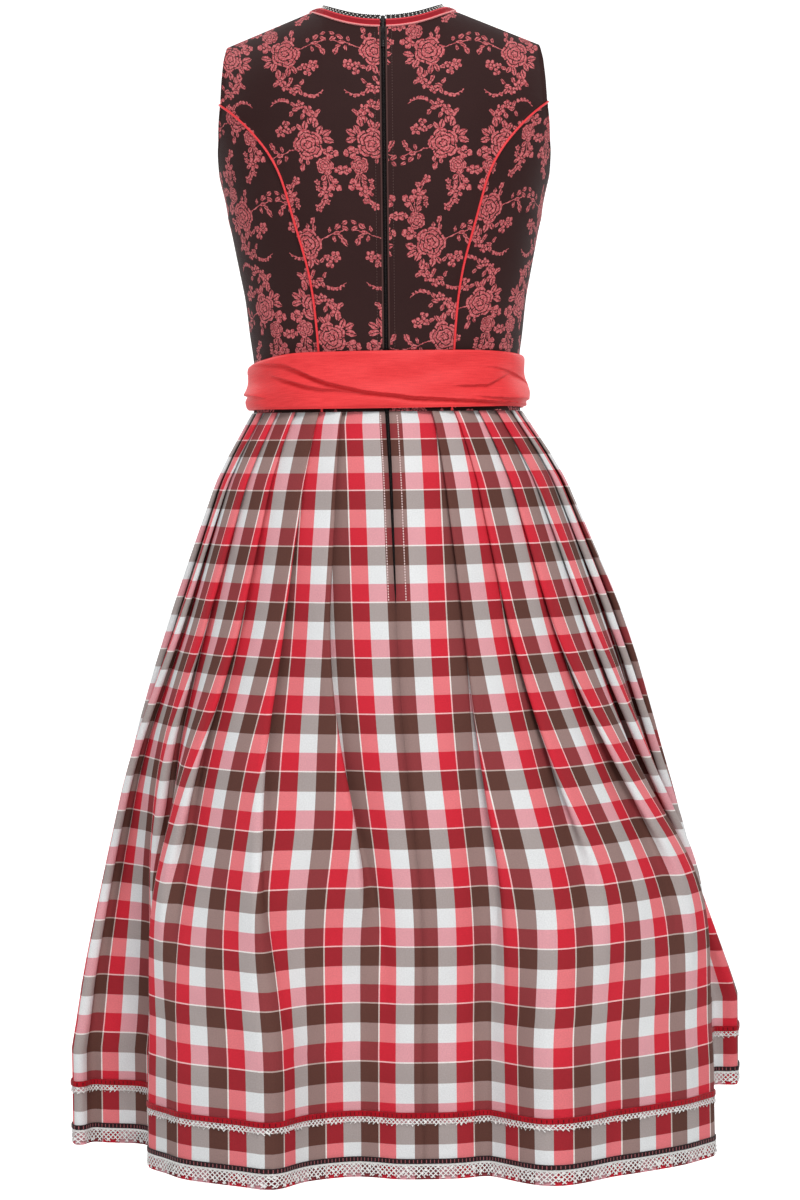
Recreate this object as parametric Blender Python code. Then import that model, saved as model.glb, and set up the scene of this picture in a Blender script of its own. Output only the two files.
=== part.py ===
"""Sleeveless midi dirndl, filled out and hollow. Metres, +Z up, the front faces -Y, the wearer's left is +X.
The origin lies between the shoulders, level with the highest point of the shoulder seams."""

import math

import bpy
import numpy as np

for old in list(bpy.data.objects):
    bpy.data.objects.remove(old)

WAIST_Z = -0.3740  # lower edge of the bodice
HEM_Z = -1.0250
SEAM = 0.00015  # half of the gap that is left at each seam
BODICE_WALL = 0.0015
SKIRT_WALL = 0.0010
SECTION_POWER = 2.3  # exponent of the torso sections
SHOULDER_SLOPE = 0.41
NECK_X = 0.061  # half-width of the neck at the shoulder seams
TIP_X = 0.145  # shoulder tip
NECK_BACK_Z = -0.0195
NECK_FRONT_Z = -0.1050
UNDERARM_Z = -0.1725
SHOULDER_ROUND = 0.075  # height over which the shoulder turns from back to front
PIPING_RADIUS = 0.0009
SLIT = 0.0018  # half-width of the opening over the zip
ZIP_END_Z = -0.5380
HEM_BAND = 0.87  # below this fraction of the drop the skirt hangs straight

# Torso sections, columns: height, half-width, depth of back, depth of front.
SECTIONS = np.array([
    (-0.3740, 0.1240, 0.0920, 0.0980),
    (-0.3450, 0.1220, 0.0905, 0.1000),
    (-0.3250, 0.1232, 0.0912, 0.1040),
    (-0.3050, 0.1262, 0.0935, 0.1085),
    (-0.2700, 0.1300, 0.0955, 0.1190),
    (-0.2350, 0.1370, 0.0990, 0.1260),
    (-0.2000, 0.1437, 0.1030, 0.1210),
    (-0.1725, 0.1490, 0.1050, 0.1130),
    (-0.1400, 0.1580, 0.1060, 0.1040),
    (-0.1000, 0.1650, 0.1040, 0.0950),
    (-0.0500, 0.1690, 0.0960, 0.0860),
    (0.0100, 0.1700, 0.0860, 0.0770),
])

# Princess seam of the back and of the front, columns: distance from the centre, height.
PRINCESS_BACK = np.array([
    (0.0585, -0.3740), (0.0609, -0.3188), (0.0636, -0.2845), (0.0673, -0.2548), (0.0734, -0.2295),
    (0.0821, -0.2016), (0.0901, -0.1706), (0.0963, -0.1512), (0.1026, -0.1400), (0.1137, -0.1268),
    (0.1248, -0.1131), (0.1360, -0.1016), (0.1500, -0.0920),
])
PRINCESS_FRONT = np.array([
    (0.0560, -0.3740), (0.0600, -0.3200), (0.0680, -0.2750), (0.0780, -0.2300), (0.0860, -0.1900),
    (0.0970, -0.1550), (0.1130, -0.1300), (0.1320, -0.1130),
])
# Armhole edges from the shoulder tip to the princess seam, then on to the underarm, same columns.
ARMHOLE_BACK = np.array([(0.1450, -0.0344), (0.1475, -0.0500), (0.1490, -0.0700), (0.1500, -0.0920)])
ARMHOLE_BACK_LOW = np.array([(0.1500, -0.0920), (0.1525, -0.1150), (0.1535, -0.1350), (0.1525, -0.1570)])
ARMHOLE_FRONT = np.array([(0.1450, -0.0344), (0.1390, -0.0600), (0.1340, -0.0880), (0.1320, -0.1130)])
ARMHOLE_FRONT_LOW = np.array([(0.1320, -0.1130), (0.1340, -0.1340), (0.1400, -0.1530), (0.1460, -0.1660)])


def torso(x, z, front):
    """Point and outward normal of the torso surface at distance x from the centre and height z."""
    def depth(x, z):
        a = np.interp(z, SECTIONS[:, 0], SECTIONS[:, 1])
        b = np.interp(z, SECTIONS[:, 0], SECTIONS[:, 3 if front else 2])
        ridge = -SHOULDER_SLOPE * np.maximum(x - NECK_X, -0.0065)
        below = np.clip((ridge - z) / SHOULDER_ROUND, 1e-5, 1)
        flat = np.maximum(1 - np.minimum(np.abs(x) / a, 1) ** SECTION_POWER, 0) ** (1 / SECTION_POWER)
        return b * flat * (1 - (1 - below) ** 2) ** 0.6
    y = depth(x, z)
    e = 0.0004
    dx = (depth(x + e * (x < e), z) - depth(x - e, z)) / (e + e * (x < e))
    dz = (depth(x, z + e) - depth(x, z - e)) / (2 * e)
    n = np.stack([-dx, np.ones_like(y), -dz], -1)
    n /= np.linalg.norm(n, axis=-1, keepdims=True)
    turn = np.array([1, -1 if front else 1, 1])
    return np.stack([x, y + SEAM, z], -1) * turn, n * turn


def half_width(z):
    return np.interp(z, SECTIONS[:, 0], SECTIONS[:, 1])


def resample(points, count, where=None):
    """The same line with count points, evenly spaced or at the given fractions of its length."""
    points = np.asarray(points, float)
    run = np.r_[0, np.cumsum(np.linalg.norm(np.diff(points, axis=0), axis=1))]
    at = run[-1] * (np.linspace(0, 1, count) if where is None else np.asarray(where))
    return np.stack([np.interp(at, run, points[:, k]) for k in range(points.shape[1])], -1)


def coons(left, right, bottom, top):
    """Grid between four lines; rows run from bottom to top, columns from left to right."""
    rows, cols = len(left), len(bottom)
    v = np.linspace(0, 1, rows)[:, None, None]
    u = np.linspace(0, 1, cols)[None, :, None]
    across = (1 - u) * left[:, None] + u * right[:, None]
    up = (1 - v) * bottom[None] + v * top[None]
    corners = (1 - u) * (1 - v) * bottom[0] + u * (1 - v) * bottom[-1] + (1 - u) * v * top[0] + u * v * top[-1]
    return across + up - corners


def slab(name, outer, inner, colour, rough=0.8, ring=False):
    """Closed solid between two grids of points; ring joins the last column to the first."""
    rows, cols = outer.shape[:2]
    points = np.concatenate([outer.reshape(-1, 3), inner.reshape(-1, 3)])
    def at(i, j, side):
        return side * rows * cols + i * cols + j % cols
    faces = []
    last = cols if ring else cols - 1
    for i in range(rows - 1):
        for j in range(last):
            faces.append((at(i, j, 0), at(i, j + 1, 0), at(i + 1, j + 1, 0), at(i + 1, j, 0)))
            faces.append((at(i, j, 1), at(i + 1, j, 1), at(i + 1, j + 1, 1), at(i, j + 1, 1)))
    for j in range(last):
        faces.append((at(0, j, 1), at(0, j + 1, 1), at(0, j + 1, 0), at(0, j, 0)))
        k = rows - 1
        faces.append((at(k, j, 0), at(k, j + 1, 0), at(k, j + 1, 1), at(k, j, 1)))
    if not ring:
        for i in range(rows - 1):
            faces.append((at(i, 0, 0), at(i + 1, 0, 0), at(i + 1, 0, 1), at(i, 0, 1)))
            k = cols - 1
            faces.append((at(i, k, 1), at(i + 1, k, 1), at(i + 1, k, 0), at(i, k, 0)))
    faces = [(f[0], f[1], f[2]) for f in faces] + [(f[0], f[2], f[3]) for f in faces]
    tri = points[np.array(faces)]
    volume = np.einsum("ij,ij->i", tri[:, 0], np.cross(tri[:, 1], tri[:, 2])).sum()
    if volume < 0:
        faces = [f[::-1] for f in faces]
    mesh = bpy.data.meshes.new(name)
    mesh.from_pydata(points.tolist(), [], faces)
    mesh.validate()
    obj = bpy.data.objects.new(name, mesh)
    material = bpy.data.materials.new(name)
    material.use_nodes = True
    shader = material.node_tree.nodes["Principled BSDF"]
    shader.inputs["Base Color"].default_value = (*colour, 1)
    shader.inputs["Roughness"].default_value = rough
    mesh.materials.append(material)
    bpy.context.scene.collection.objects.link(obj)
    return obj


JACQUARD = (0.075, 0.035, 0.03)
RED = (0.65, 0.03, 0.035)
CHECK = (0.60, 0.25, 0.24)
BROWN = (0.06, 0.03, 0.025)
LACE = (0.85, 0.85, 0.83)
BLACK = (0.012, 0.012, 0.014)


def panel(name, grid, front, side, seams=(1, 1)):
    """Bodice panel from a grid of (distance, height); its outer columns are drawn in by the seam gap."""
    grid = grid.copy()
    step = grid[:, 1] - grid[:, 0]
    grid[:, 0] += seams[0] * SEAM * step / np.linalg.norm(step, axis=-1, keepdims=True)
    step = grid[:, -2] - grid[:, -1]
    grid[:, -1] += seams[1] * SEAM * step / np.linalg.norm(step, axis=-1, keepdims=True)
    points, normals = torso(grid[..., 0], grid[..., 1], front)
    mirror = np.array([side, 1, 1])
    return slab(name, points * mirror, (points - normals * BODICE_WALL) * mirror, JACQUARD)


def side_panel(name, seam, armhole, front, side):
    """Panel from a princess seam round to the side seam; its grid is held in (section angle, height)."""
    def angle(line):
        a = half_width(line[:, 1])
        return np.stack([np.arcsin(np.clip(line[:, 0] / a, 0, 1) ** (SECTION_POWER / 2)), line[:, 1]], -1)
    left = angle(seam)
    end = (math.pi / 2, UNDERARM_Z)
    right = np.stack([np.full(len(left), math.pi / 2), np.linspace(WAIST_Z, UNDERARM_Z, len(left))], -1)
    bottom = np.linspace(left[0], right[0], 6)
    top = resample(np.concatenate([angle(armhole), [end]]), 6)
    grid = coons(left, right, bottom, top)
    x = half_width(grid[..., 1]) * np.sin(grid[..., 0]) ** (2 / SECTION_POWER)
    z = grid[..., 1]
    x[:, 0] += SEAM
    x[:, -1] = half_width(z[:, -1]) - 1e-6
    points, normals = torso(x, z, front)
    turn = -1 if front else 1
    normals[:, -1] = (normals[:, -1] * (1, 0, 1)) / np.linalg.norm(normals[:, -1] * (1, 0, 1), axis=-1, keepdims=True)
    points[:, -1, 1] = turn * SEAM
    mirror = np.array([side, 1, 1])
    return slab(name, points * mirror, (points - normals * BODICE_WALL) * mirror, JACQUARD)


# Neckline of back and front from the centre to the shoulder seam, columns: distance, height.
across = np.linspace(0, NECK_X, 7)
NECK_BACK = np.stack([across, NECK_BACK_Z * (1 - (across / NECK_X) ** 2.2)], -1)
turn = np.linspace(math.pi / 2, 0, 9)
NECK_FRONT = np.stack([NECK_X * np.cos(turn) ** 0.77, NECK_FRONT_Z * np.sin(turn) ** 0.77], -1)
NECK_FRONT[0] = (0, NECK_FRONT_Z)
SHOULDER = np.array([(NECK_X, 0), (TIP_X, -SHOULDER_SLOPE * (TIP_X - NECK_X))])

# Back panels: from the centre seam to the princess seam and the armhole.
princess_back = resample(PRINCESS_BACK, 10)
armhole_back = resample(ARMHOLE_BACK[::-1], 4)
back_right_edge = np.concatenate([princess_back, armhole_back[1:]])
back_left_edge = np.stack([np.full(13, SLIT), np.linspace(WAIST_Z, NECK_BACK_Z, 13)], -1)
neck_start = NECK_BACK.copy()
neck_start[0, 0] = SLIT
back_top = np.concatenate([neck_start, resample(SHOULDER, 5)[1:]])
back_bottom = np.linspace(back_left_edge[0], back_right_edge[0], 11)
back_grid = coons(back_left_edge, back_right_edge, back_bottom, back_top)
for side, name in ((1, "left"), (-1, "right")):
    panel("bodice_back_" + name, back_grid, False, side, (0, 1))
    side_panel("bodice_side_back_" + name, princess_back, ARMHOLE_BACK_LOW, False, side)

# Front: one panel across the centre, between the princess seams.
princess_front = resample(PRINCESS_FRONT, 9)
armhole_front = resample(ARMHOLE_FRONT[::-1], 4)
front_edge = np.concatenate([princess_front, armhole_front[1:]])
front_left = np.stack([np.zeros(12), np.linspace(WAIST_Z, NECK_FRONT_Z, 12)], -1)
front_top = np.concatenate([NECK_FRONT, resample(SHOULDER, 5)[1:]])
front_bottom = np.linspace(front_left[0], front_edge[0], 13)
half = coons(front_left, front_edge, front_bottom, front_top)
half[:, -1, 0] -= SEAM
points, normals = torso(half[..., 0], half[..., 1], True)
normals[:, 0, 0] = 0
full = np.concatenate([(points * (-1, 1, 1))[:, :0:-1], points], 1)
inner = points - normals * BODICE_WALL
full_inner = np.concatenate([(inner * (-1, 1, 1))[:, :0:-1], inner], 1)
slab("bodice_front", full, full_inner, JACQUARD)
for side, name in ((1, "left"), (-1, "right")):
    side_panel("bodice_side_front_" + name, princess_front, ARMHOLE_FRONT_LOW, True, side)


def tube(name, line, normals, radius, colour, sides=6):
    """Round cord along a line, its sections square to it."""
    along = np.gradient(line, axis=0)
    along /= np.linalg.norm(along, axis=1, keepdims=True)
    out = normals - along * np.einsum("ij,ij->i", normals, along)[:, None]
    out /= np.linalg.norm(out, axis=1, keepdims=True)
    other = np.cross(along, out)
    turn = np.arange(sides) * 2 * math.pi / sides + math.pi / sides
    around = line[:, None] + radius * (out[:, None] * np.cos(turn)[:, None] + other[:, None] * np.sin(turn)[:, None])
    points = around.reshape(-1, 3)
    n = len(line)
    faces = []
    for i in range(n - 1):
        for j in range(sides):
            a, b = i * sides + j, i * sides + (j + 1) % sides
            faces += [(a, b, b + sides), (a, b + sides, a + sides)]
    for j in range(1, sides - 1):
        faces += [(0, j + 1, j), ((n - 1) * sides, (n - 1) * sides + j, (n - 1) * sides + j + 1)]
    tri = points[np.array(faces)]
    if np.einsum("ij,ij->i", tri[:, 0], np.cross(tri[:, 1], tri[:, 2])).sum() < 0:
        faces = [f[::-1] for f in faces]
    mesh = bpy.data.meshes.new(name)
    mesh.from_pydata(points.tolist(), [], faces)
    obj = bpy.data.objects.new(name, mesh)
    material = bpy.data.materials.new(name)
    material.use_nodes = True
    shader = material.node_tree.nodes["Principled BSDF"]
    shader.inputs["Base Color"].default_value = (*colour, 1)
    shader.inputs["Roughness"].default_value = 0.5
    mesh.materials.append(material)
    bpy.context.scene.collection.objects.link(obj)
    return obj


# Piping cords on the four princess seams, standing on the seam line.
for seam, front, word in ((princess_back, False, "back"), (princess_front, True, "front")):
    points, normals = torso(seam[:, 0], seam[:, 1], front)
    points = points + normals * (PIPING_RADIUS + 0.0004)
    for side, name in ((1, "left"), (-1, "right")):
        mirror = np.array([side, 1, 1])
        tube("piping_" + word + "_" + name, points * mirror, normals * mirror, PIPING_RADIUS, RED)


def neck_line(shift):
    """The whole neckline from the left of the zip over both shoulders to its right, moved down by shift."""
    def moved(line, front):
        along = np.gradient(line, axis=0)
        along /= np.linalg.norm(along, axis=1, keepdims=True)
        down = np.stack([along[:, 1], -along[:, 0]], -1)
        down[0] = (0, -1)
        down[-1] = (1, -SHOULDER_SLOPE) / np.hypot(1, SHOULDER_SLOPE)
        p = line + shift * down
        p[-1] = line[-1] + shift * down[-1]
        return torso(p[:, 0], p[:, 1], front)
    back = NECK_BACK.copy()
    back[0, 0] = SLIT + 0.0006
    pb, nb = moved(back, False)
    pf, nf = moved(NECK_FRONT, True)
    nb[-1] = nf[-1] = np.array((SHOULDER_SLOPE, 0, 1)) / np.hypot(1, SHOULDER_SLOPE)
    pb[-1, 1] = 0
    left = np.concatenate([pb, pf[-2::-1]])
    left_n = np.concatenate([nb, nf[-2::-1]])
    left_n[-1, 0] = 0
    mirror = np.array([-1, 1, 1])
    return np.concatenate([left, (left * mirror)[-2::-1]]), np.concatenate([left_n, (left_n * mirror)[-2::-1]])


upper, upper_n = neck_line(0.0002)
lower, lower_n = neck_line(0.0067)
ribbon_in = np.stack([upper + upper_n * 0.0009, lower + lower_n * 0.0009])
ribbon_out = np.stack([upper + upper_n * 0.0019, lower + lower_n * 0.0019])
slab("neck_ribbon", ribbon_out, ribbon_in, RED, 0.6)
top, top_n = neck_line(-0.0048)
foot, foot_n = neck_line(-0.0008)
slab("neck_edging", np.stack([top, foot]), np.stack([top - top_n * 0.0011, foot - foot_n * 0.0011]), BLACK)

# Sash: one strip from the centre front round the back to the centre front, its end lapping over its start.
SASH_TOP, SASH_LOW = -0.3175, -0.3712
turn = np.linspace(-2.90, math.pi + 0.24, 62)


def waist_oval(turn, z, lift):
    """Point of the torso section at a turn counted from the centre back, moved out by lift."""
    a, bb, bf = (np.interp(z, SECTIONS[:, 0], SECTIONS[:, k]) for k in (1, 2, 3))
    s, c = np.sin(turn), np.cos(turn)
    x = (a + lift) * np.sign(s) * np.abs(s) ** (2 / SECTION_POWER)
    y = (np.where(c > 0, bb, bf) + lift) * np.sign(c) * np.abs(c) ** (2 / SECTION_POWER)
    return np.stack([x, y, np.full_like(x, z)], -1)


lap = 0.0031 + 0.0022 * np.clip((turn - 2.70) / 0.35, 0, 1)
heights = np.linspace(SASH_LOW, SASH_TOP, 3)
sash_in = np.stack([waist_oval(turn, z, lap) for z in heights])
sash_out = np.stack([waist_oval(turn, z, lap + 0.0015) for z in heights])
slab("sash", sash_out, sash_in, RED, 0.5)

# Skirt. Knife pleats of each half, counted from the centre back; columns: cloth position of the hidden
# start and of the fold edge. The fold edges face the centre back.
PLEATS = np.array([
    (0.0407, 0.1032), (0.1259, 0.1869), (0.2127, 0.2796), (0.3017, 0.3729), (0.3978, 0.4640), (0.4868, 0.5530),
    (0.5750, 0.6420), (0.6641, 0.7310), (0.7540, 0.8200), (0.8444, 0.9090), (0.9351, 0.9980), (1.0278, 1.0870),
])
HALF_CLOTH = 1.136
DS = 0.001
CLOTH = np.arange(0, HALF_CLOTH + DS / 2, DS)
# Hem in plan against its mean oval, a table a half; columns: cloth position, run along the oval, distance out.
HEM_LEFT = np.array([
    (0.0000, 0.0000, -0.0018), (0.0230, 0.0230, -0.0018), (0.0380, 0.0351, -0.0092), (0.0560, 0.0523, -0.0140),
    (0.0720, 0.0666, -0.0082), (0.0870, 0.0792, -0.0002), (0.1050, 0.0914, 0.0129), (0.1210, 0.0970, 0.0279),
    (0.1360, 0.1009, 0.0424), (0.1540, 0.1067, 0.0509), (0.1700, 0.1216, 0.0450), (0.1850, 0.1362, 0.0417),
    (0.2030, 0.1541, 0.0406), (0.2190, 0.1701, 0.0406), (0.2340, 0.1843, 0.0363), (0.2520, 0.2000, 0.0274),
    (0.2670, 0.2144, 0.0233), (0.2830, 0.2290, 0.0170), (0.2940, 0.2360, 0.0070), (0.3300, 0.2560, -0.0230),
    (0.3828, 0.3060, -0.0340), (0.3982, 0.3243, -0.0220), (0.4140, 0.3344, -0.0050), (0.4294, 0.3426, 0.0110),
    (0.4471, 0.3568, 0.0220), (0.4629, 0.3705, 0.0280), (0.4783, 0.3835, 0.0285), (0.5300, 0.4244, 0.0150),
    (0.5800, 0.4640, 0.0070), (0.6500, 0.5200, 0.0030), (1.1360, 0.9000, 0.0000),
])
HEM_RIGHT = np.array([
    (0.0000, 0.0000, -0.0018), (0.0230, 0.0230, -0.0018), (0.0380, 0.0380, -0.0020), (0.0560, 0.0545, -0.0091),
    (0.0720, 0.0625, 0.0037), (0.0870, 0.0689, 0.0172), (0.1050, 0.0777, 0.0329), (0.1210, 0.0864, 0.0463),
    (0.1360, 0.0986, 0.0498), (0.1540, 0.1156, 0.0439), (0.1700, 0.1307, 0.0386), (0.1850, 0.1450, 0.0344),
    (0.2030, 0.1630, 0.0335), (0.2340, 0.1940, 0.0335), (0.2670, 0.2270, 0.0335), (0.2968, 0.2560, 0.0335),
    (0.3724, 0.2791, -0.0003), (0.4472, 0.3325, -0.0219), (0.5298, 0.4001, -0.0200), (0.6120, 0.4661, 0.0050),
    (0.6766, 0.5074, 0.0400), (0.7540, 0.5404, 0.1000), (0.7986, 0.5639, 0.1170), (0.8417, 0.5887, 0.1080),
    (0.8806, 0.6090, 0.0850), (0.9500, 0.6600, 0.0430), (1.0400, 0.7400, 0.0000), (1.1360, 0.8200, 0.0000),
])
# Flare of the skirt, columns: fraction of the drop, share of the way from the waist's oval to the hem's.
FLARE = np.array([
    (0.000, 0.000), (0.055, 0.128), (0.100, 0.217), (0.140, 0.273), (0.183, 0.334), (0.268, 0.452), (0.353, 0.557),
    (0.439, 0.650), (0.524, 0.729), (0.610, 0.799), (0.695, 0.867), (0.780, 0.933), (0.870, 1.000),
])
TABLE_FOLDS = {1: 4, -1: 3}  # so many pleats of a half have opened into the waves of its table by the hem
FOLD_DRIFT = {1: (-0.052, -0.037, -0.020, -0.017), -1: (-0.016, -0.010, -0.006)}  # their creases lean so far
FOLD_PSI = math.radians(171)  # direction of the hidden middle layer of a closed pleat


def box(values, width):
    """Running mean over a width of cloth."""
    n = max(width / DS / 2, 0.51)
    padded = np.concatenate([np.full(60, values[0]), values, np.full(60, values[-1])])
    run = np.r_[0, np.cumsum(padded)]
    at = np.arange(len(values)) + 60.5
    grid = np.arange(len(run))
    return (np.interp(at + n, grid, run) - np.interp(at - n, grid, run)) / (2 * n)


def hem_angle(side):
    table = HEM_LEFT if side > 0 else HEM_RIGHT
    along = box(box(np.interp(CLOTH, table[:, 0], table[:, 1]), 0.012), 0.012)
    out = box(box(np.interp(CLOTH, table[:, 0], table[:, 2]), 0.012), 0.012)
    return np.arctan2(np.gradient(out), np.gradient(along))


HEM_ANGLE = {1: hem_angle(1), -1: hem_angle(-1)}
EDGES = PLEATS[:, 1]
TURNS = PLEATS.mean(axis=1)
DEPTHS = EDGES - TURNS
MIDDLES = (EDGES + TURNS) / 2


def fold_state(v, side):
    """Share of the hem table, crease positions and turn width at a fraction of the drop."""
    t = np.clip((v - 0.25) / (HEM_BAND - 0.25), 0, 1)
    t = t * t * (3 - 2 * t)
    middles = MIDDLES.copy()
    middles[:TABLE_FOLDS[side]] += t * np.array(FOLD_DRIFT[side])
    return t, middles, 0.0036 + 0.024 * min(v / HEM_BAND, 1)


def fold_angle(open_, v, side):
    """Direction of the cloth against the oval: backwards in the hidden middle of a pleat, forwards and
    slightly inwards elsewhere, so that each pleat ends at the depth where it starts."""
    t, middles, width = fold_state(v, side)
    shut = DEPTHS * (1 - open_)
    shut[:TABLE_FOLDS[side]] *= 1 - t
    marks = np.r_[0, middles]
    tilt = np.zeros(13)
    for _ in range(5):
        angle = np.zeros_like(CLOTH)
        for k in range(12):
            angle[(CLOTH >= marks[k]) & (CLOTH < marks[k + 1])] = -tilt[k]
        first = CLOTH < marks[1]
        angle[first] *= 2 * CLOTH[first] / marks[1]
        for k in range(12):
            inside = np.clip((shut[k] / 2 - np.abs(CLOTH - middles[k])) / DS + 0.5, 0, 1)
            angle += inside * (FOLD_PSI - angle)
        angle = box(angle, width)
        run = np.r_[0, np.cumsum(np.sin(angle))] * DS
        net = np.diff(np.interp(marks, CLOTH, run[:-1]))
        tilt[:12] += net / (np.diff(marks) - shut)
    return angle


def oval(v):
    """Mean plan of the skirt at a fraction of its drop: centre x, centre y, half-width, half-depth."""
    f = np.interp(v, FLARE[:, 0], FLARE[:, 1])
    return np.array((0, -0.003, 0.1235, 0.0925)) * (1 - f) + np.array((-0.0135, 0.030, 0.295, 0.270)) * f


def half_plan(v, side):
    """Plan of one half of the skirt over the cloth positions, from the centre back to the centre front."""
    v = min(v, HEM_BAND)
    cx, cy, a, b = oval(v)
    sway = math.exp(-(((v - 0.65) / 0.15) ** 2))  # the middle of the skirt hangs over to the right
    cx -= 0.0066 * sway
    a += 0.0080 * sway if side < 0 else 0
    t = np.linspace(0, math.pi, 1441)
    ox, oy = a * np.sin(t), b * np.cos(t)
    arc = np.r_[0, np.cumsum(np.hypot(np.diff(ox), np.diff(oy)))]
    share = fold_state(v, side)[0]
    low, high = 0.0, 1.0
    for _ in range(18 if v > 0 else 1):
        open_ = (low + high) / 2 if v > 0 else 0.0
        angle = fold_angle(open_, v, side) + share * HEM_ANGLE[side]
        tau = np.r_[0, np.cumsum(np.cos(angle)[:-1]) * DS]
        if tau[-1] < arc[-1]:
            low = open_
        else:
            high = open_
    out = np.r_[0, np.cumsum(np.sin(angle)[:-1]) * DS]
    out = out - out[-1] * CLOTH / HALF_CLOTH
    tau = tau * arc[-1] / tau[-1]
    rest = share * (1 - CLOTH / HALF_CLOTH)
    tau = tau - side * 0.0101 * rest
    out = out - 0.0018 * rest
    x, y = np.interp(tau, arc, ox), np.interp(tau, arc, oy)
    x[tau < 0] = tau[tau < 0]
    nx, ny = -np.gradient(oy, arc), np.gradient(ox, arc)
    long = np.hypot(nx, ny)
    nx, ny = np.interp(tau, arc, nx / long), np.interp(tau, arc, ny / long)
    shut = np.full(12, 1 - open_)
    shut[:TABLE_FOLDS[side]] *= 1 - share
    return np.stack([side * (x + nx * out) + cx, y + ny * out + cy], -1), shut


ROWS = np.array([0, 0.045, 0.11, 0.26, 0.50, HEM_BAND, 1.0])
PLANS, SHUT = {}, {}
for side in (1, -1):
    for v in ROWS:
        PLANS[v, side], SHUT[v, side] = half_plan(v, side)
    print("skirt half", side, "closed by row", [round(float(SHUT[v, side][6]), 3) for v in ROWS])

SEAM_COLUMN = 3 + 7 * 5 + 6  # the side seam lies after this column, in the panel before the seventh pleat


def columns_at(v, side):
    """Cloth positions of the mesh columns: both ends of each turn, each hidden layer, each panel.
    They follow the creases."""
    _, middles, width = fold_state(v, side)
    turn = min(width / 2, 0.0045)
    half = np.maximum(DEPTHS / 2 * SHUT[v, side], 0.0085)
    found = [k * middles[0] for k in (0.22, 0.42, 0.62)]
    for k in range(12):
        low, high = middles[k] - half[k], middles[k] + half[k]
        found += [low - turn, low + turn, middles[k], high - turn, high + turn]
        after = middles[k + 1] - half[k + 1] - turn if k < 11 else HALF_CLOTH
        found += [high + turn + (after - high - turn) * k for k in (0.34, 0.68)]
    return np.array(found)


def sample(side, v, s):
    plan = PLANS[v, side]
    return np.stack([np.interp(s, CLOTH, plan[:, k]) for k in (0, 1)], -1)


def half_lines(side, v, slit):
    """Points of one half at a fraction of the drop: the back panel's, then the front panel's."""
    s = columns_at(v, side)
    line = sample(side, v, s)
    a, b = line[SEAM_COLUMN], line[SEAM_COLUMN + 1]
    along = (b - a) / np.linalg.norm(b - a)
    middle = (a + b) / 2
    back = np.r_[sample(side, v, np.array([slit])), line[:SEAM_COLUMN + 1], [middle - SEAM * along]]
    front = np.r_[[middle + SEAM * along], line[SEAM_COLUMN + 1:]]
    return back, front, middle


def miter(line, shift, ring=False):
    """Plan line moved sideways by shift, to the left of its run, its corners mitred."""
    if ring:
        before, after = np.roll(line, 1, 0), np.roll(line, -1, 0)
    else:
        before = np.r_[[2 * line[0] - line[1]], line[:-1]]
        after = np.r_[line[1:], [2 * line[-1] - line[-2]]]
    d0, d1 = line - before, after - line
    d0 /= np.linalg.norm(d0, axis=1, keepdims=True)
    d1 /= np.linalg.norm(d1, axis=1, keepdims=True)
    n = np.stack([-(d0[:, 1] + d1[:, 1]), d0[:, 0] + d1[:, 0]], -1)
    n /= np.linalg.norm(n, axis=1, keepdims=True)
    n1 = np.stack([-d1[:, 1], d1[:, 0]], -1)
    return line + n * (shift / np.maximum(np.einsum("ij,ij->i", n, n1), 0.5))[:, None]


heights = WAIST_Z - 2 * SEAM - (WAIST_Z - 2 * SEAM - HEM_Z) * ROWS
SLIT_ROWS = np.array([SLIT, SLIT, SLIT, SEAM, SEAM, SEAM, SEAM])


def skirt_panel(name, lines, centre_back=None):
    """Solid from a list of plan lines, a row each, from the top down; a centre back edge is cut straight."""
    walls = []
    for shift in (SKIRT_WALL / 2, -SKIRT_WALL / 2):
        grid = []
        for line, z in zip(lines, heights):
            moved = miter(line, shift)
            if centre_back is not None:
                moved[centre_back] = line[centre_back] + (0, shift)
            grid.append(np.c_[moved, np.full(len(line), z)])
        walls.append(np.stack(grid))
    return slab(name, walls[0], walls[1], CHECK)


for side, word in ((1, "left"), (-1, "right")):
    lines = [half_lines(side, v, slit)[0] for v, slit in zip(ROWS, SLIT_ROWS)]
    if side < 0:
        lines = [line[::-1] for line in lines]
    skirt_panel("skirt_back_" + word, lines, 0 if side > 0 else -1)
lines = []
for v in ROWS:
    left, right = (half_lines(side, v, 0)[1] for side in (1, -1))
    lines.append(np.r_[left, sample(1, v, np.array([HALF_CLOTH])), right[::-1]])
skirt_panel("skirt_front", lines)

# Trims of the hem, rings on the hanging band of the skirt; columns: top and bottom height, colour, roughness.
halves = []
for side in (1, -1):
    back, front, middle = half_lines(side, ROWS[-1], 0)
    halves.append(np.r_[back[:-1], [middle], front[1:]])
ring = np.r_[halves[0], sample(1, ROWS[-1], np.array([HALF_CLOTH])), halves[1][:0:-1]]
for name, top, low, colour, rough in (
    ("hem_ribbon_red", -0.9685, -0.9733, RED, 0.6),
    ("hem_lace_upper", -0.9736, -0.9796, LACE, 0.9),
    ("hem_ribbon_brown", -1.0075, -1.0118, BROWN, 0.7),
    ("hem_lace_lower", -1.0121, -1.0240, LACE, 0.9),
):
    near, far = (miter(ring, SKIRT_WALL / 2 + k, True) for k in (0.0004, 0.0014))
    outer = np.stack([np.c_[far, np.full(len(far), z)] for z in (top, low)])
    inner = np.stack([np.c_[near, np.full(len(near), z)] for z in (top, low)])
    slab(name, outer, inner, colour, rough, ring=True)

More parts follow.
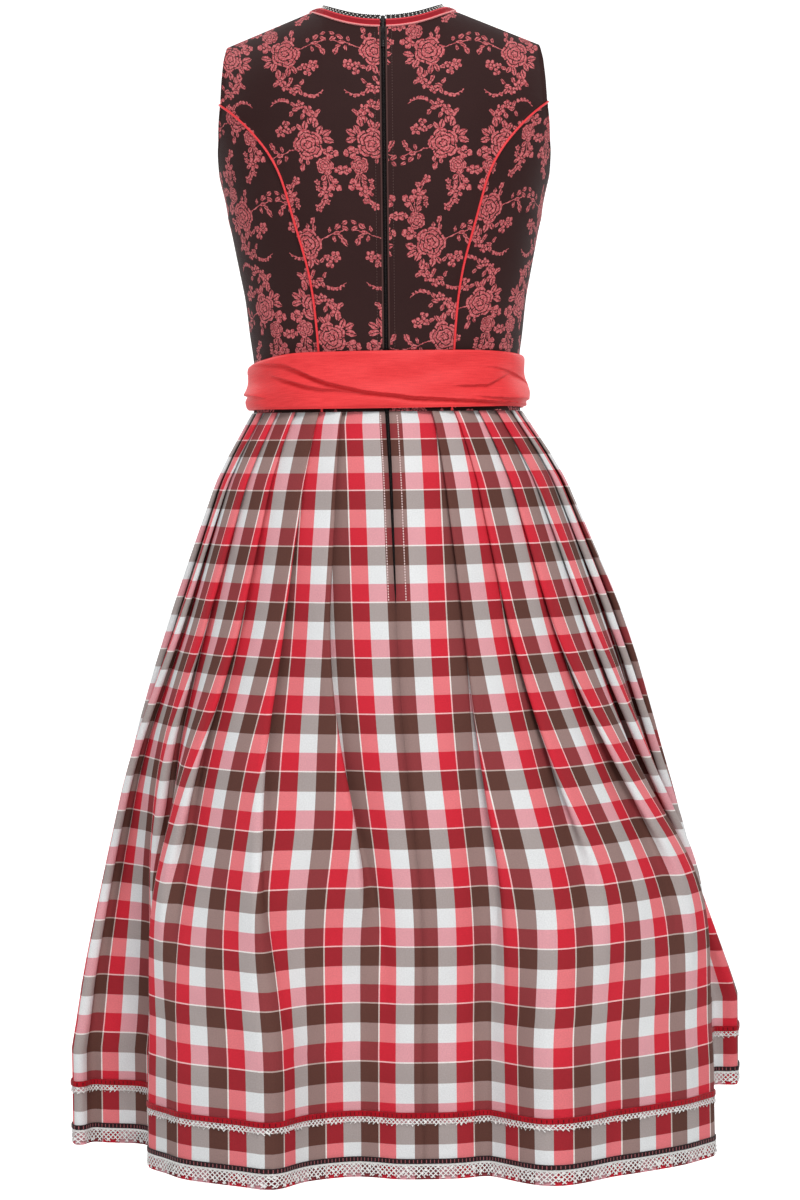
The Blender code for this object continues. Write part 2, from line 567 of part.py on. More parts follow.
# Zip: its tape behind both edges of the centre back opening, and its slider at the top of the slit.
z_bodice = back_left_edge[::-1, 1]
back_points, back_normals = torso(np.full(13, SLIT), z_bodice, False)
z_skirt = np.array([-0.3742, -0.3971, -0.4459, ZIP_END_Z])
drop = (WAIST_Z - z_skirt) / (WAIST_Z - HEM_Z)
x_rows, y_rows = np.array([sample(1, v, np.array([0.0]))[0] for v in ROWS]).T
y_skirt = np.interp(drop, ROWS, y_rows)
x_skirt = np.interp(drop, ROWS, x_rows)
inward = np.r_[-back_normals, np.tile((0.0, -1.0, 0.0), (4, 1))]
face = np.r_[np.c_[np.zeros(13), back_points[:, 1:]], np.c_[x_skirt, y_skirt, z_skirt]]
tape = np.stack([face + inward * 0.0020 + (-0.005, 0, 0), face + inward * 0.0020 + (0.005, 0, 0)], 1)
slab("zip_tape", tape, tape + inward[:, None] * 0.0009, BLACK, 0.7)
z_slider = np.linspace(-0.0285, -0.0365, 4)
y_slider = np.interp(z_slider, z_bodice[::-1], back_points[::-1, 1])
half_widths = np.array([0.0016, 0.0025, 0.0023, 0.0012])
grid = np.stack([np.stack([k * half_widths, y_slider, z_slider], -1) for k in (-1, 0, 1)], 1)
slab("zip_slider", grid + (0, 0.0020, 0.0003), grid + (0, 0.0004, 0), BLACK, 0.35)
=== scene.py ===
"""The dressed view of the sleeveless dirndl: woven cloth, folds, ribbons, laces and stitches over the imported
solids. Metres, +Z up, the front faces -Y, the wearer's left is +X."""

import math

import bpy
import numpy as np
from mathutils import Matrix, Vector


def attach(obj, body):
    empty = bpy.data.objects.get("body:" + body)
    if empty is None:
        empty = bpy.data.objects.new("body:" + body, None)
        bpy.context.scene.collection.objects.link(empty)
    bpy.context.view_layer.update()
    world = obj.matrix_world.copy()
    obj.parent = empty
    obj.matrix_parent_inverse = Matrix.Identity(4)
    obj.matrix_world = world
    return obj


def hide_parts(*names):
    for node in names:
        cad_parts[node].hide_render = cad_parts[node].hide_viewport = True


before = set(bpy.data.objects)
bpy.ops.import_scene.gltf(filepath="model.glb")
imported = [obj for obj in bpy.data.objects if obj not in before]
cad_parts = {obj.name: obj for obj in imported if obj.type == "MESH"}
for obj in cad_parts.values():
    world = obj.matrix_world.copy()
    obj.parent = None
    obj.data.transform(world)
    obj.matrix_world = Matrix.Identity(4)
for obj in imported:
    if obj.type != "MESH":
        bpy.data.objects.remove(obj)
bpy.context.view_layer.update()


# Camera and studio. The dress hangs at the height where a wearer would carry it, seen square from the back,
# on a pale paper sweep that runs from the floor up into the wall, under large soft lights.
CAMERA_PLACE = (0, 3.3, -0.391)
CAMERA_ROLL = -0.0105
LENS = 106.5
LENS_SHIFT = (0.0107, -0.1417)
LAMP_AIM = (0, 0, -0.5)
FLOOR_Z = -1.40
WALL_TOP = 6.0
SWEEP_FRONT, FLOOR_END = 7.0, -7.8
SWEEP_BEND = 1.2
SWEEP_HALF = 9
GLOW_FROM, GLOW_TO = -0.9, -1.6  # the paper glows behind the dress only, from the first y to the second


class Field:
    """A number, colour or vector that varies over a surface: sums and products of it add Math nodes."""

    def __init__(self, tree, socket=None):
        self.tree, self.socket = tree, socket

    def node(self, kind, settings, values, output=0):
        """Node of a kind in this tree, its settings made first, then the values or links of its sockets."""
        made = self.tree.nodes.new(kind)
        for key, value in settings.items():
            if key == "stops":
                ramp = made.color_ramp
                while len(ramp.elements) < len(value):
                    ramp.elements.new(0.5)
                for element, (place, colour) in zip(ramp.elements, value):
                    element.position = place
                    element.color = (*colour, 1)
            elif key == "interpolation":
                made.color_ramp.interpolation = value
            else:
                setattr(made, key, value)
        set_sockets(made, values)
        return Field(self.tree, made.outputs[output])

    def maths(self, operation, other=None, third=None):
        values = {0: self}
        if other is not None:
            values[1] = other
        if third is not None:
            values[2] = third
        return self.node("ShaderNodeMath", {"operation": operation}, values)

    def __add__(self, other):
        return self.maths("ADD", other)

    def __sub__(self, other):
        return self.maths("SUBTRACT", other)

    def __rsub__(self, other):
        return (self * -1) + other

    def __mul__(self, other):
        return self.maths("MULTIPLY", other)

    def __truediv__(self, other):
        return self.maths("DIVIDE", other)

    def __abs__(self):
        return self.maths("ABSOLUTE")

    __radd__, __rmul__ = __add__, __mul__

    def over(self, other):
        return self.maths("GREATER_THAN", other)

    def under(self, other):
        return self.maths("LESS_THAN", other)

    def least(self, other):
        return self.maths("MINIMUM", other)

    def most(self, other):
        return self.maths("MAXIMUM", other)

    def wrapped(self, period):
        return self.maths("WRAP", period, 0.0)

    def soft(self, low, high):
        """Smooth step from 0 at low to 1 at high."""
        return self.node("ShaderNodeMapRange", {"interpolation_type": "SMOOTHSTEP"},
                         {"Value": self, "From Min": low, "From Max": high})

    def between(self, period):
        """Distance from the middle of the nearest thread, for threads a period apart; half way it is 0.5."""
        return abs((self / period).wrapped(1.0) - 0.5)

    def split(self):
        """The x, y and z of this vector."""
        x = self.node("ShaderNodeSeparateXYZ", {}, {0: self})
        return x, *(Field(self.tree, output) for output in x.socket.node.outputs[1:])

    def noise(self, scale, detail=2.0, dimensions="2D"):
        """Cloudy number from 0 to 1 over this place."""
        return self.node("ShaderNodeTexNoise", {"noise_dimensions": dimensions},
                         {"Vector": self, "Scale": scale, "Detail": detail})

    def blend(self, first, second):
        """Colour that goes from the first to the second as this goes from 0 to 1."""
        first, second = (c if isinstance(c, Field) else (*c, 1) for c in (first, second))
        return self.node("ShaderNodeMix", {"data_type": "RGBA"}, {0: self, 6: first, 7: second}, 2)

    def tint(self, colour):
        """The colour times this number."""
        return self.node("ShaderNodeVectorMath", {"operation": "SCALE"}, {0: colour, "Scale": self})

    def bump(self, strength, distance):
        """Normal of a surface that is raised by this height."""
        return self.node("ShaderNodeBump", {}, {"Strength": strength, "Distance": distance, "Height": self})


def set_sockets(node, values):
    """Sockets of a node: a field is linked, and a number or a colour is set."""
    for key, value in values.items():
        if isinstance(value, Field):
            value.tree.links.new(value.socket, node.inputs[key])
        else:
            node.inputs[key].default_value = value


def new_material(name):
    """Material and its shader."""
    material = bpy.data.materials.new(name)
    material.use_nodes = True
    return material, material.node_tree.nodes["Principled BSDF"]


def placed(name, data):
    """Object in the scene."""
    obj = bpy.data.objects.new(name, data)
    bpy.context.scene.collection.objects.link(obj)
    return obj


def mesh_piece(name, points, faces, material, smooth=True):
    """Object of one mesh in one material."""
    mesh = bpy.data.meshes.new(name)
    mesh.from_pydata(points, [], faces)
    mesh.polygons.foreach_set("use_smooth", np.full(len(mesh.polygons), smooth))
    mesh.materials.append(material)
    return placed(name, mesh)


def lamp(name, place, width, height, watts, tint):
    """Large soft box aimed at the middle of the dress."""
    data = bpy.data.lights.new(name, "AREA")
    data.shape = "RECTANGLE"
    data.size, data.size_y = width, height
    data.energy = watts
    data.color = tint
    obj = placed(name, data)
    obj.rotation_euler = (Vector(LAMP_AIM) - Vector(place)).to_track_quat("-Z", "Y").to_euler()
    obj.location = place


def studio_paper():
    """Matt white paper."""
    material, shader = new_material("studio_paper")
    place = Field(material.node_tree).node("ShaderNodeTexCoord", {}, {}, "Object")
    y = place.split()[1]
    far = y.node("ShaderNodeMapRange", {}, {"Value": y, "From Min": GLOW_FROM, "From Max": GLOW_TO})
    glow = far.node("ShaderNodeCombineColor", {}, {0: far, 1: far, 2: far})
    set_sockets(shader, {"Base Color": (0.86, 0.86, 0.86, 1), "Roughness": 0.9, "Emission Color": glow,
                         "Emission Strength": 0.55})
    return material


camera_data = bpy.data.cameras.new("camera")
camera_data.lens = LENS
camera_data.shift_x, camera_data.shift_y = LENS_SHIFT
camera = placed("camera", camera_data)
camera.matrix_world = (Matrix.Translation(CAMERA_PLACE) @ Matrix.Rotation(math.pi, 4, "Z")
                       @ Matrix.Rotation(math.pi / 2, 4, "X") @ Matrix.Rotation(CAMERA_ROLL, 4, "Z"))
bpy.context.scene.camera = camera

lamp("key", (-0.6, 2.4, 1.7), 1.3, 1.3, 73, (1.0, 0.985, 0.96))
lamp("fill", (2.6, 2.4, 0.4), 2.2, 2.6, 16, (0.96, 0.98, 1.0))
lamp("front_left", (2.6, -2.4, 1.3), 2.0, 2.0, 40, (1, 1, 1))
lamp("front_right", (-2.6, -2.4, 0.8), 2.0, 2.0, 28, (1, 1, 1))
world = bpy.data.worlds.new("studio")
world.use_nodes = True
set_sockets(world.node_tree.nodes["Background"], {"Color": (1, 1, 1, 1), "Strength": 0.46})
bpy.context.scene.world = world
bpy.context.scene.view_settings.view_transform = "Standard"

profile = [(SWEEP_FRONT, FLOOR_Z), (-3.0, FLOOR_Z), (FLOOR_END, FLOOR_Z)]
profile += [(FLOOR_END - SWEEP_BEND * math.sin(a), FLOOR_Z + SWEEP_BEND - SWEEP_BEND * math.cos(a))
            for a in np.linspace(0.1, math.pi / 2, 12)]
profile += [(FLOOR_END - SWEEP_BEND, WALL_TOP)]
count = len(profile)
sweep = mesh_piece("studio_sweep", [(x, y, z) for x in (-SWEEP_HALF, SWEEP_HALF) for y, z in profile],
                   [(k, k + 1, k + 1 + count, k + count) for k in range(count - 1)], studio_paper())


# Skirt. Three widths of yarn-dyed cotton check, laid in knife pleats that are pressed and caught in the
# waist seam and open out downwards; the folds face the centre back. Each width is a thin shell on its own
# solid's fold lines, and its UV map is the flat cloth: the distance from the centre back and from the waist.
WAIST_Z = -0.3740
HEM_Z = -1.0250
SEAM = 0.00015
TOP_Z = WAIST_Z - 2 * SEAM
HEM_BAND = 0.87  # fraction of the drop from which the skirt hangs straight
HALF_CLOTH = 1.136
CLOTH_THICK = 0.0007
DS = 0.001
CLOTH = np.arange(0, HALF_CLOTH + DS / 2, DS)
# Knife pleats of a half from the centre back; columns: cloth position of the hidden start, of the fold edge.
PLEATS = np.array([
    (0.0407, 0.1032), (0.1259, 0.1869), (0.2127, 0.2796), (0.3017, 0.3729), (0.3978, 0.4640),
    (0.4868, 0.5530), (0.5750, 0.6420), (0.6641, 0.7310), (0.7540, 0.8200), (0.8444, 0.9090),
    (0.9351, 0.9980), (1.0278, 1.0870),
])
# Waves of the hem against its mean oval, a table a half; columns: cloth position, run along the oval,
# distance out.
HEM_WAVES = {1: np.array([
    (0.0000, 0.0000, -0.0018), (0.0230, 0.0230, -0.0018), (0.0380, 0.0351, -0.0092),
    (0.0560, 0.0523, -0.0140), (0.0720, 0.0666, -0.0082), (0.0870, 0.0792, -0.0002),
    (0.1050, 0.0914, 0.0129), (0.1210, 0.0970, 0.0279), (0.1360, 0.1009, 0.0424),
    (0.1540, 0.1067, 0.0509), (0.1700, 0.1216, 0.0450), (0.1850, 0.1362, 0.0417),
    (0.2030, 0.1541, 0.0406), (0.2190, 0.1701, 0.0406), (0.2340, 0.1843, 0.0363),
    (0.2520, 0.2000, 0.0274), (0.2670, 0.2144, 0.0233), (0.2830, 0.2290, 0.0170),
    (0.2940, 0.2360, 0.0070), (0.3300, 0.2560, -0.0230), (0.3828, 0.3060, -0.0340),
    (0.3982, 0.3243, -0.0220), (0.4140, 0.3344, -0.0050), (0.4294, 0.3426, 0.0110),
    (0.4471, 0.3568, 0.0220), (0.4629, 0.3705, 0.0280), (0.4783, 0.3835, 0.0285),
    (0.5300, 0.4244, 0.0150), (0.5800, 0.4640, 0.0070), (0.6500, 0.5200, 0.0030),
    (1.1360, 0.9000, 0.0000),
]), -1: np.array([
    (0.0000, 0.0000, -0.0018), (0.0230, 0.0230, -0.0018), (0.0380, 0.0380, -0.0020),
    (0.0560, 0.0545, -0.0091), (0.0720, 0.0625, 0.0037), (0.0870, 0.0689, 0.0172),
    (0.1050, 0.0777, 0.0329), (0.1210, 0.0864, 0.0463), (0.1360, 0.0986, 0.0498),
    (0.1540, 0.1156, 0.0439), (0.1700, 0.1307, 0.0386), (0.1850, 0.1450, 0.0344),
    (0.2030, 0.1630, 0.0335), (0.2340, 0.1940, 0.0335), (0.2670, 0.2270, 0.0335),
    (0.2968, 0.2560, 0.0335), (0.3724, 0.2791, -0.0003), (0.4472, 0.3325, -0.0219),
    (0.5298, 0.4001, -0.0200), (0.6120, 0.4661, 0.0050), (0.6766, 0.5074, 0.0400),
    (0.7540, 0.5404, 0.1000), (0.7986, 0.5639, 0.1170), (0.8417, 0.5887, 0.1080),
    (0.8806, 0.6090, 0.0850), (0.9500, 0.6600, 0.0430), (1.0400, 0.7400, 0.0000),
    (1.1360, 0.8200, 0.0000),
])}
# Flare of the skirt, columns: fraction of the drop, share of the way from the waist's oval to the hem's.
FLARE = np.array([
    (0.000, 0.000), (0.055, 0.128), (0.100, 0.217), (0.140, 0.273), (0.183, 0.334), (0.268, 0.452),
    (0.353, 0.557), (0.439, 0.650), (0.524, 0.729), (0.610, 0.799), (0.695, 0.867), (0.780, 0.933),
    (0.870, 1.000),
])
# Ovals of the waist and the hem: x and y of the middle, half-width, half-depth.
WAIST_OVAL = np.array((0, -0.003, 0.1235, 0.0925))
HEM_OVAL = np.array((-0.0135, 0.030, 0.295, 0.270))
WAVE_FOLDS = {1: 4, -1: 3}  # so many pleats of a half have opened into the waves by the hem
FOLD_DRIFT = {1: (-0.052, -0.037, -0.020, -0.017), -1: (-0.016, -0.010, -0.006)}
FOLD_TURN = math.radians(171)
FOLD_DEPTH = (PLEATS[:, 1] - PLEATS[:, 0]) / 2
FOLD_MIDDLE = PLEATS[:, 0] * 0.25 + PLEATS[:, 1] * 0.75
WAVE_START = 0.25  # fraction of the drop where the waves of the hem begin
WAVE_SOFTNESS = 0.012
TURN_AT_WAIST, TURN_GAIN = 0.0036, 0.015  # width of cloth in a crease, and how much it has gained by the hem
MOST_TURN = 0.0050  # half-width of a crease's crowded mesh columns
LEAST_FOLD = 0.0085
SWAY, SWAY_WIDTH, SWAY_AT, SWAY_LENGTH = 0.0066, 0.0080, 0.65, 0.15  # the middle hangs over to the right
CENTRE_SHIFT, CENTRE_DEPTH = 0.0101, 0.0018  # of the centre back at the hem
PUCKER = 0.00055
WAIST_TAKE_UP, TAKE_UP_END = 0.0066, 0.25  # cloth that the waist seam takes in, and where that ends


def running_mean(values, width):
    """Mean over a width of cloth, which rounds each crease."""
    reach = max(width / DS / 2, 0.51)
    margin = 60
    padded = np.concatenate([np.full(margin, values[0]), values, np.full(margin, values[-1])])
    total = np.r_[0, np.cumsum(padded)]
    middle = np.arange(len(values)) + margin + 0.5
    grid = np.arange(len(total))
    return (np.interp(middle + reach, grid, total) - np.interp(middle - reach, grid, total)) / (2 * reach)


def wave_angle(waves):
    """Direction of the cloth along the waves of the hem."""
    along, out = (np.interp(CLOTH, waves[:, 0], waves[:, k]) for k in (1, 2))
    along, out = (running_mean(running_mean(line, WAVE_SOFTNESS), WAVE_SOFTNESS) for line in (along, out))
    return np.arctan2(np.gradient(out), np.gradient(along))


WAVE_ANGLE = {side: wave_angle(waves) for side, waves in HEM_WAVES.items()}


def fold_state(v, side):
    """Share of the hem's waves, crease positions and width of a turn at a fraction of the drop."""
    share = np.clip((v - WAVE_START) / (HEM_BAND - WAVE_START), 0, 1)
    share = share * share * (3 - 2 * share)
    middles = FOLD_MIDDLE.copy()
    middles[:WAVE_FOLDS[side]] += share * np.array(FOLD_DRIFT[side])
    return share, middles, TURN_AT_WAIST + TURN_GAIN * min(v / HEM_BAND, 1)


def fold_angle(opened, v, side):
    """Direction of the cloth against the oval: backwards in a pleat, forwards and slightly in elsewhere."""
    share, middles, width = fold_state(v, side)
    shut = FOLD_DEPTH * (1 - opened)
    shut[:WAVE_FOLDS[side]] *= 1 - share
    marks = np.r_[0, middles]
    tilt = np.zeros(len(marks))
    for _ in range(5):  # each round brings every panel's ends nearer to the oval
        angle = np.zeros_like(CLOTH)
        for k in range(len(PLEATS)):
            angle[(CLOTH >= marks[k]) & (CLOTH < marks[k + 1])] = -tilt[k]
        first = CLOTH < marks[1]
        angle[first] *= 2 * CLOTH[first] / marks[1]
        for middle, depth in zip(middles, shut):
            inside = np.clip((depth / 2 - np.abs(CLOTH - middle)) / DS + 0.5, 0, 1)
            angle += inside * (FOLD_TURN - angle)
        angle = running_mean(angle, width)
        run = np.r_[0, np.cumsum(np.sin(angle))] * DS
        net = np.diff(np.interp(marks, CLOTH, run[:-1]))
        tilt[:-1] += net / (np.diff(marks) - shut)
    return angle


def half_plan(v, side):
    """Plan of one half of the skirt over the cloth positions, from the centre back to the centre front, and
    how far each of its pleats is still shut."""
    v = min(v, HEM_BAND)
    flare = np.interp(v, FLARE[:, 0], FLARE[:, 1])
    middle_x, middle_y, half_width, half_depth = WAIST_OVAL * (1 - flare) + HEM_OVAL * flare
    sway = math.exp(-(((v - SWAY_AT) / SWAY_LENGTH) ** 2))
    middle_x -= SWAY * sway
    half_width += SWAY_WIDTH * sway if side < 0 else 0
    turn = np.linspace(0, math.pi, 1441)
    oval_x, oval_y = half_width * np.sin(turn), half_depth * np.cos(turn)
    arc = np.r_[0, np.cumsum(np.hypot(np.diff(oval_x), np.diff(oval_y)))]
    share = fold_state(v, side)[0]
    low, high = 0.0, 1.0
    for _ in range(18 if v > 0 else 1):  # halves the guess until the cloth is as long as the oval
        opened = (low + high) / 2 if v > 0 else 0.0
        angle = fold_angle(opened, v, side) + share * WAVE_ANGLE[side]
        along = np.r_[0, np.cumsum(np.cos(angle)[:-1]) * DS]
        if along[-1] < arc[-1]:
            low = opened
        else:
            high = opened
    out = np.r_[0, np.cumsum(np.sin(angle)[:-1]) * DS]
    out = out - out[-1] * CLOTH / HALF_CLOTH
    along = along * arc[-1] / along[-1]
    rest = share * (1 - CLOTH / HALF_CLOTH)
    along = along - side * CENTRE_SHIFT * rest
    out = out - CENTRE_DEPTH * rest
    x, y = np.interp(along, arc, oval_x), np.interp(along, arc, oval_y)
    x[along < 0] = along[along < 0]
    out_x, out_y = -np.gradient(oval_y, arc), np.gradient(oval_x, arc)
    long = np.hypot(out_x, out_y)
    out_x, out_y = np.interp(along, arc, out_x / long), np.interp(along, arc, out_y / long)
    shut = np.full(len(PLEATS), 1 - opened)
    shut[:WAVE_FOLDS[side]] *= 1 - share
    return np.stack([side * (x + out_x * out) + middle_x, y + out_y * out + middle_y], -1), shut


def cloth_columns(v, side, shut):
    """Cloth positions of the mesh columns, crowded at the creases and following them down the skirt."""
    _, middles, width = fold_state(v, side)
    turn = min(width / 2, MOST_TURN)
    half = np.maximum(FOLD_DEPTH / 2 * shut, LEAST_FOLD)
    before = min(0.70 * middles[0], middles[0] - half[0] - turn - 0.0015)
    found = [np.linspace(0, before, 9)]
    ends = np.r_[(middles - half - turn)[1:], HALF_CLOTH]  # where the panel after each pleat ends
    for low, high, after in zip(middles - half, middles + half, ends):
        found += [np.linspace(low - turn, low + turn, 6), np.linspace(low + turn, high - turn, 6)[1:-1],
                  np.linspace(high - turn, high + turn, 6), np.linspace(high + turn, after, 10)[1:-1]]
    return np.concatenate(found)


def puckers(s, side, v):
    """Small soft unevenness of the hanging cloth: shallow troughs that wander down it, none at its seams."""
    wave = np.sin(s * 71 + 1.3 * side + 2.1 * v) * np.sin(v * 5.1 + s * 9)
    wave = wave + 0.6 * np.sin(s * 133 + 4 * v + side) + 0.5 * np.sin(v * 17 + s * 23 * side)
    return PUCKER * wave * np.clip(v / 0.2, 0, 1) * np.clip(s / 0.02, 0, 1)


def shifted(line, shift):
    """Plan line moved out by shift at every point, its corners mitred."""
    before = line - np.r_[[2 * line[0] - line[1]], line[:-1]]
    after = np.r_[line[1:], [2 * line[-1] - line[-2]]] - line
    before, after = (way / np.maximum(np.linalg.norm(way, axis=1, keepdims=True), 1e-9)
                     for way in (before, after))
    out = np.stack([-(before[:, 1] + after[:, 1]), before[:, 0] + after[:, 0]], -1)
    out /= np.maximum(np.linalg.norm(out, axis=1, keepdims=True), 1e-9)
    lean = np.maximum(out[:, 0] * -after[:, 1] + out[:, 1] * after[:, 0], 0.6)
    return line + out * (shift / lean)[:, None]


def half_lines(side):
    """Cloth positions and plan points of one half of the skirt, a row of columns for every height."""
    all_s, all_xy = [], []
    for v in rows:
        plan, shut = half_plan(v, side)
        s = cloth_columns(v, side, shut)
        xy = np.stack([np.interp(s, CLOTH, plan[:, k]) for k in (0, 1)], -1)
        outward = shifted(xy, 1.0) - xy
        all_s.append(s)
        all_xy.append(xy + side * outward * puckers(s, side, v)[:, None] * -1)
    return np.stack(all_s), np.stack(all_xy)


rows = np.r_[0, 0.006, 0.014, 0.025, 0.04, np.linspace(0.06, HEM_BAND, 50), np.linspace(HEM_BAND, 1, 9)[1:]]
row_z = TOP_Z - (TOP_Z - HEM_Z) * rows
half_s, half_xy = {}, {}
for side in (1, -1):
    half_s[side], half_xy[side] = half_lines(side)
side_seam_s = (PLEATS[5, 1] + PLEATS[6, 0]) / 2  # in the panel before the seventh pleat
SIDE_SEAM = int(np.argmin(np.abs(half_s[1][0] - side_seam_s)))
step = np.linalg.norm(np.diff(half_xy[1], axis=0), axis=-1)
cloth_run = np.r_[0, np.cumsum(np.median(np.hypot(step[:, :120], -np.diff(row_z)[:, None]), axis=1))]
cloth_run = cloth_run + WAIST_TAKE_UP * np.clip(1 - rows / TAKE_UP_END, 0, 1)


def closed_shell(name, outer, inner, u, v, material):
    """Closed shell between two grids of points, its faces outwards, with the UV map cloth."""
    points = np.concatenate([outer.reshape(-1, 3), inner.reshape(-1, 3)])
    index = np.arange(len(points)).reshape(2, *outer.shape[:2])  # of the outer wall, of the inner wall
    walls = np.stack([index[:, :-1, :-1], index[:, :-1, 1:], index[:, 1:, 1:], index[:, 1:, :-1]], -1)
    (top, low), (first, last) = index[:, (0, -1)].swapaxes(0, 1), index[:, :, (0, -1)].transpose(2, 0, 1)
    rims = [np.stack([rim[0, :-1], rim[1, :-1], rim[1, 1:], rim[0, 1:]], -1)[:, ::turn]
            for rim, turn in ((top, 1), (low, -1), (first, -1), (last, 1))]
    faces = np.concatenate([walls[0].reshape(-1, 4)[:, ::-1], walls[1].reshape(-1, 4)] + rims)
    corners = points[faces[:, :3]]
    way = np.cross(corners[:, 1] - corners[:, 0], corners[:, 2] - corners[:, 0])
    if np.einsum("ij,ij->i", corners[:, 0], way).sum() < 0:
        faces = faces[:, ::-1]
    piece = mesh_piece(name, points.tolist(), faces.tolist(), material)
    mesh = piece.data
    flat = np.stack([np.broadcast_to(part, outer.shape[:2]) for part in (u, v)], -1)
    flat = np.tile(flat.reshape(-1, 2), (2, 1))
    layer = mesh.uv_layers.new(name="cloth")
    loops = np.empty(len(mesh.loops), np.int32)
    mesh.loops.foreach_get("vertex_index", loops)
    layer.data.foreach_set("uv", flat[loops].ravel())
    return piece


def cloth_shell(name, line, u, v, thick, material):
    """Closed thin shell from rows of points; its outer side lies on the left of the rows' run in plan."""
    outer, inner = (np.stack([np.c_[shifted(row[:, :2], shift), row[:, 2]] for row in line])
                    for shift in (thick / 2, -thick / 2))
    return closed_shell(name, outer, inner, u, v, material)


def wear(piece, node=None):
    """Puts a piece on the dress, in place of the node that it stands for."""
    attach(piece, "root")
    if node is not None:
        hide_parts(node)
    return piece


def cloth_material(name):
    """Material, its shader and the places of its flat cloth: across it, down it, and both as a vector."""
    material, shader = new_material(name)
    flat = Field(material.node_tree).node("ShaderNodeUVMap", {"uv_map": "cloth"}, {})
    across, down, _ = flat.split()
    return material, shader, across, down, flat


def linear(red, green, blue):
    """Scene colour of a display colour given from 0 to 255."""
    display = (red / 255, green / 255, blue / 255)
    return tuple(c / 12.92 if c < 0.04045 else ((c + 0.055) / 1.055) ** 2.4 for c in display)


CHECK_REPEAT = 0.0489  # across the cloth
WEFT_REPEAT = 0.0513
CHECK_START, WEFT_START = 0.01025, 0.0025
SEAM_OFFSET = 0.00295  # the centre back seam cuts a brown stripe unevenly by this much
YARN = 0.00052
# Yarns of the check, columns: end of the stripe as a share of the repeat, colour where it crosses each weft.
CHECK_YARNS = (
    # end, white weft, red weft, cream weft, brown weft
    ("white", 0.324, (226, 228, 230), (222, 158, 166), (238, 232, 230), (168, 157, 155)),
    ("red", 0.639, (230, 122, 128), (208, 44, 60), (240, 184, 186), (160, 41, 50)),
    ("cream", 0.664, (240, 234, 231), (238, 178, 182), (246, 238, 234), (196, 182, 176)),
    ("brown", 1.000, (154, 128, 124), (142, 58, 62), (184, 162, 156), (94, 60, 53)),
)


def woven_check():
    """Plain-woven cotton: four warp and four weft yarns that make sixteen colours where they cross."""
    material, shader, across, down, flat = cloth_material("woven_check")
    warp = (abs(across) - CHECK_START + across.maths("SIGN") * SEAM_OFFSET) / CHECK_REPEAT
    warp = warp.wrapped(1.0)
    weft = ((down - WEFT_START) / WEFT_REPEAT).wrapped(1.0)
    colour = None
    for _, end, *crossings in reversed(CHECK_YARNS):
        stops, start = [], 0.0
        for (_, weft_end, *_), crossing in zip(CHECK_YARNS, crossings):
            stops.append((start, linear(*crossing)))
            start = weft_end
        ramp = weft.node("ShaderNodeValToRGB", {"stops": stops, "interpolation": "CONSTANT"}, {0: weft})
        colour = ramp if colour is None else warp.under(end).blend(colour, ramp)
    hollow = across.between(YARN).most(down.between(YARN)).soft(0.30, 0.5)
    slub, patch, wrinkle = flat.noise(900.0), flat.noise(14.0, 3.0), flat.noise(38.0, 3.0)
    shade = (slub * 0.26) + (patch * 0.14) + 0.80 - hollow * 0.12
    height = slub * 0.4 - hollow + wrinkle * 9.0
    set_sockets(shader, {"Base Color": shade.tint(colour), "Roughness": slub * 0.12 + 0.80,
                         "Normal": height.bump(0.45, 0.0003), "Specular IOR Level": 0.10})
    return material


def hung(plan):
    """Points of the plan lines at their rows' heights."""
    return np.concatenate([plan, np.broadcast_to(row_z[:, None, None], plan.shape[:2] + (1,))], -1)


SIDES = ((1, "left"), (-1, "right"))
check = woven_check()
for side, name in SIDES:
    s, xy = half_s[side][:, :SIDE_SEAM + 1].copy(), half_xy[side][:, :SIDE_SEAM + 1].copy()
    slit = np.interp(row_z, (-0.546, -0.537, -0.40), (0.00002, 0.0007, 0.0018))  # it closes below the zip
    xy[:, 0, 0] += side * slit
    line = hung(xy)
    if side > 0:
        line, s = line[:, ::-1], s[:, ::-1]
    panel = cloth_shell(f"skirt_back_{name}_cloth", line, s * side, cloth_run[:, None], CLOTH_THICK, check)
    wear(panel, "skirt_back_" + name)
left, right = (hung(half_xy[side][:, SIDE_SEAM:]) for side in (1, -1))
s_left, s_right = (half_s[side][:, SIDE_SEAM:] for side in (1, -1))
line = np.concatenate([right, left[:, -2::-1]], 1)
s = np.concatenate([-s_right, -(2 * HALF_CLOTH - s_left[:, -2::-1])], 1)
front_width = cloth_shell("skirt_front_cloth", line, s, cloth_run[:, None], CLOTH_THICK, check)
wear(front_width, "skirt_front")


# Hem trims, sewn round the skirt on its folds: a red velvet ribbon over a narrow scalloped lace, and near the
# hem a black one over a wide lace through which the check shows. Each is a thin band on the cloth's own line,
# its scallops cut in the mesh, its threads and the small holes between them from the material.
# Profiles down the bands, columns: height, distance off the middle of the cloth.
RED_RIBBON = ((-0.9684, 0.0010), (-0.9691, 0.0016), (-0.9702, 0.0018), (-0.9709, 0.0014), (-0.9716, 0.0018),
              (-0.9727, 0.0016), (-0.9734, 0.0010))
UPPER_LACE = ((-0.9728, 0.0008), (-0.9752, 0.0011), (-0.9776, 0.0013), (-0.9802, 0.0016))
BLACK_RIBBON = ((-1.0075, 0.0009), (-1.0081, 0.0014), (-1.0090, 0.0016), (-1.0096, 0.0013), (-1.0102, 0.0016),
                (-1.0112, 0.0014), (-1.0118, 0.0009))
LOWER_LACE = ((-1.0113, 0.0010), (-1.0150, 0.0013), (-1.0195, 0.0015), (-1.0238, 0.0017))
RIBBON_STEP, RIBBON_THICK = 0.003, 0.0006
LACE_THICK = 0.0004
PICOT, SHALLOW_SCALLOP, WIDE_SCALLOP = 0.0044, 0.018, 0.0084


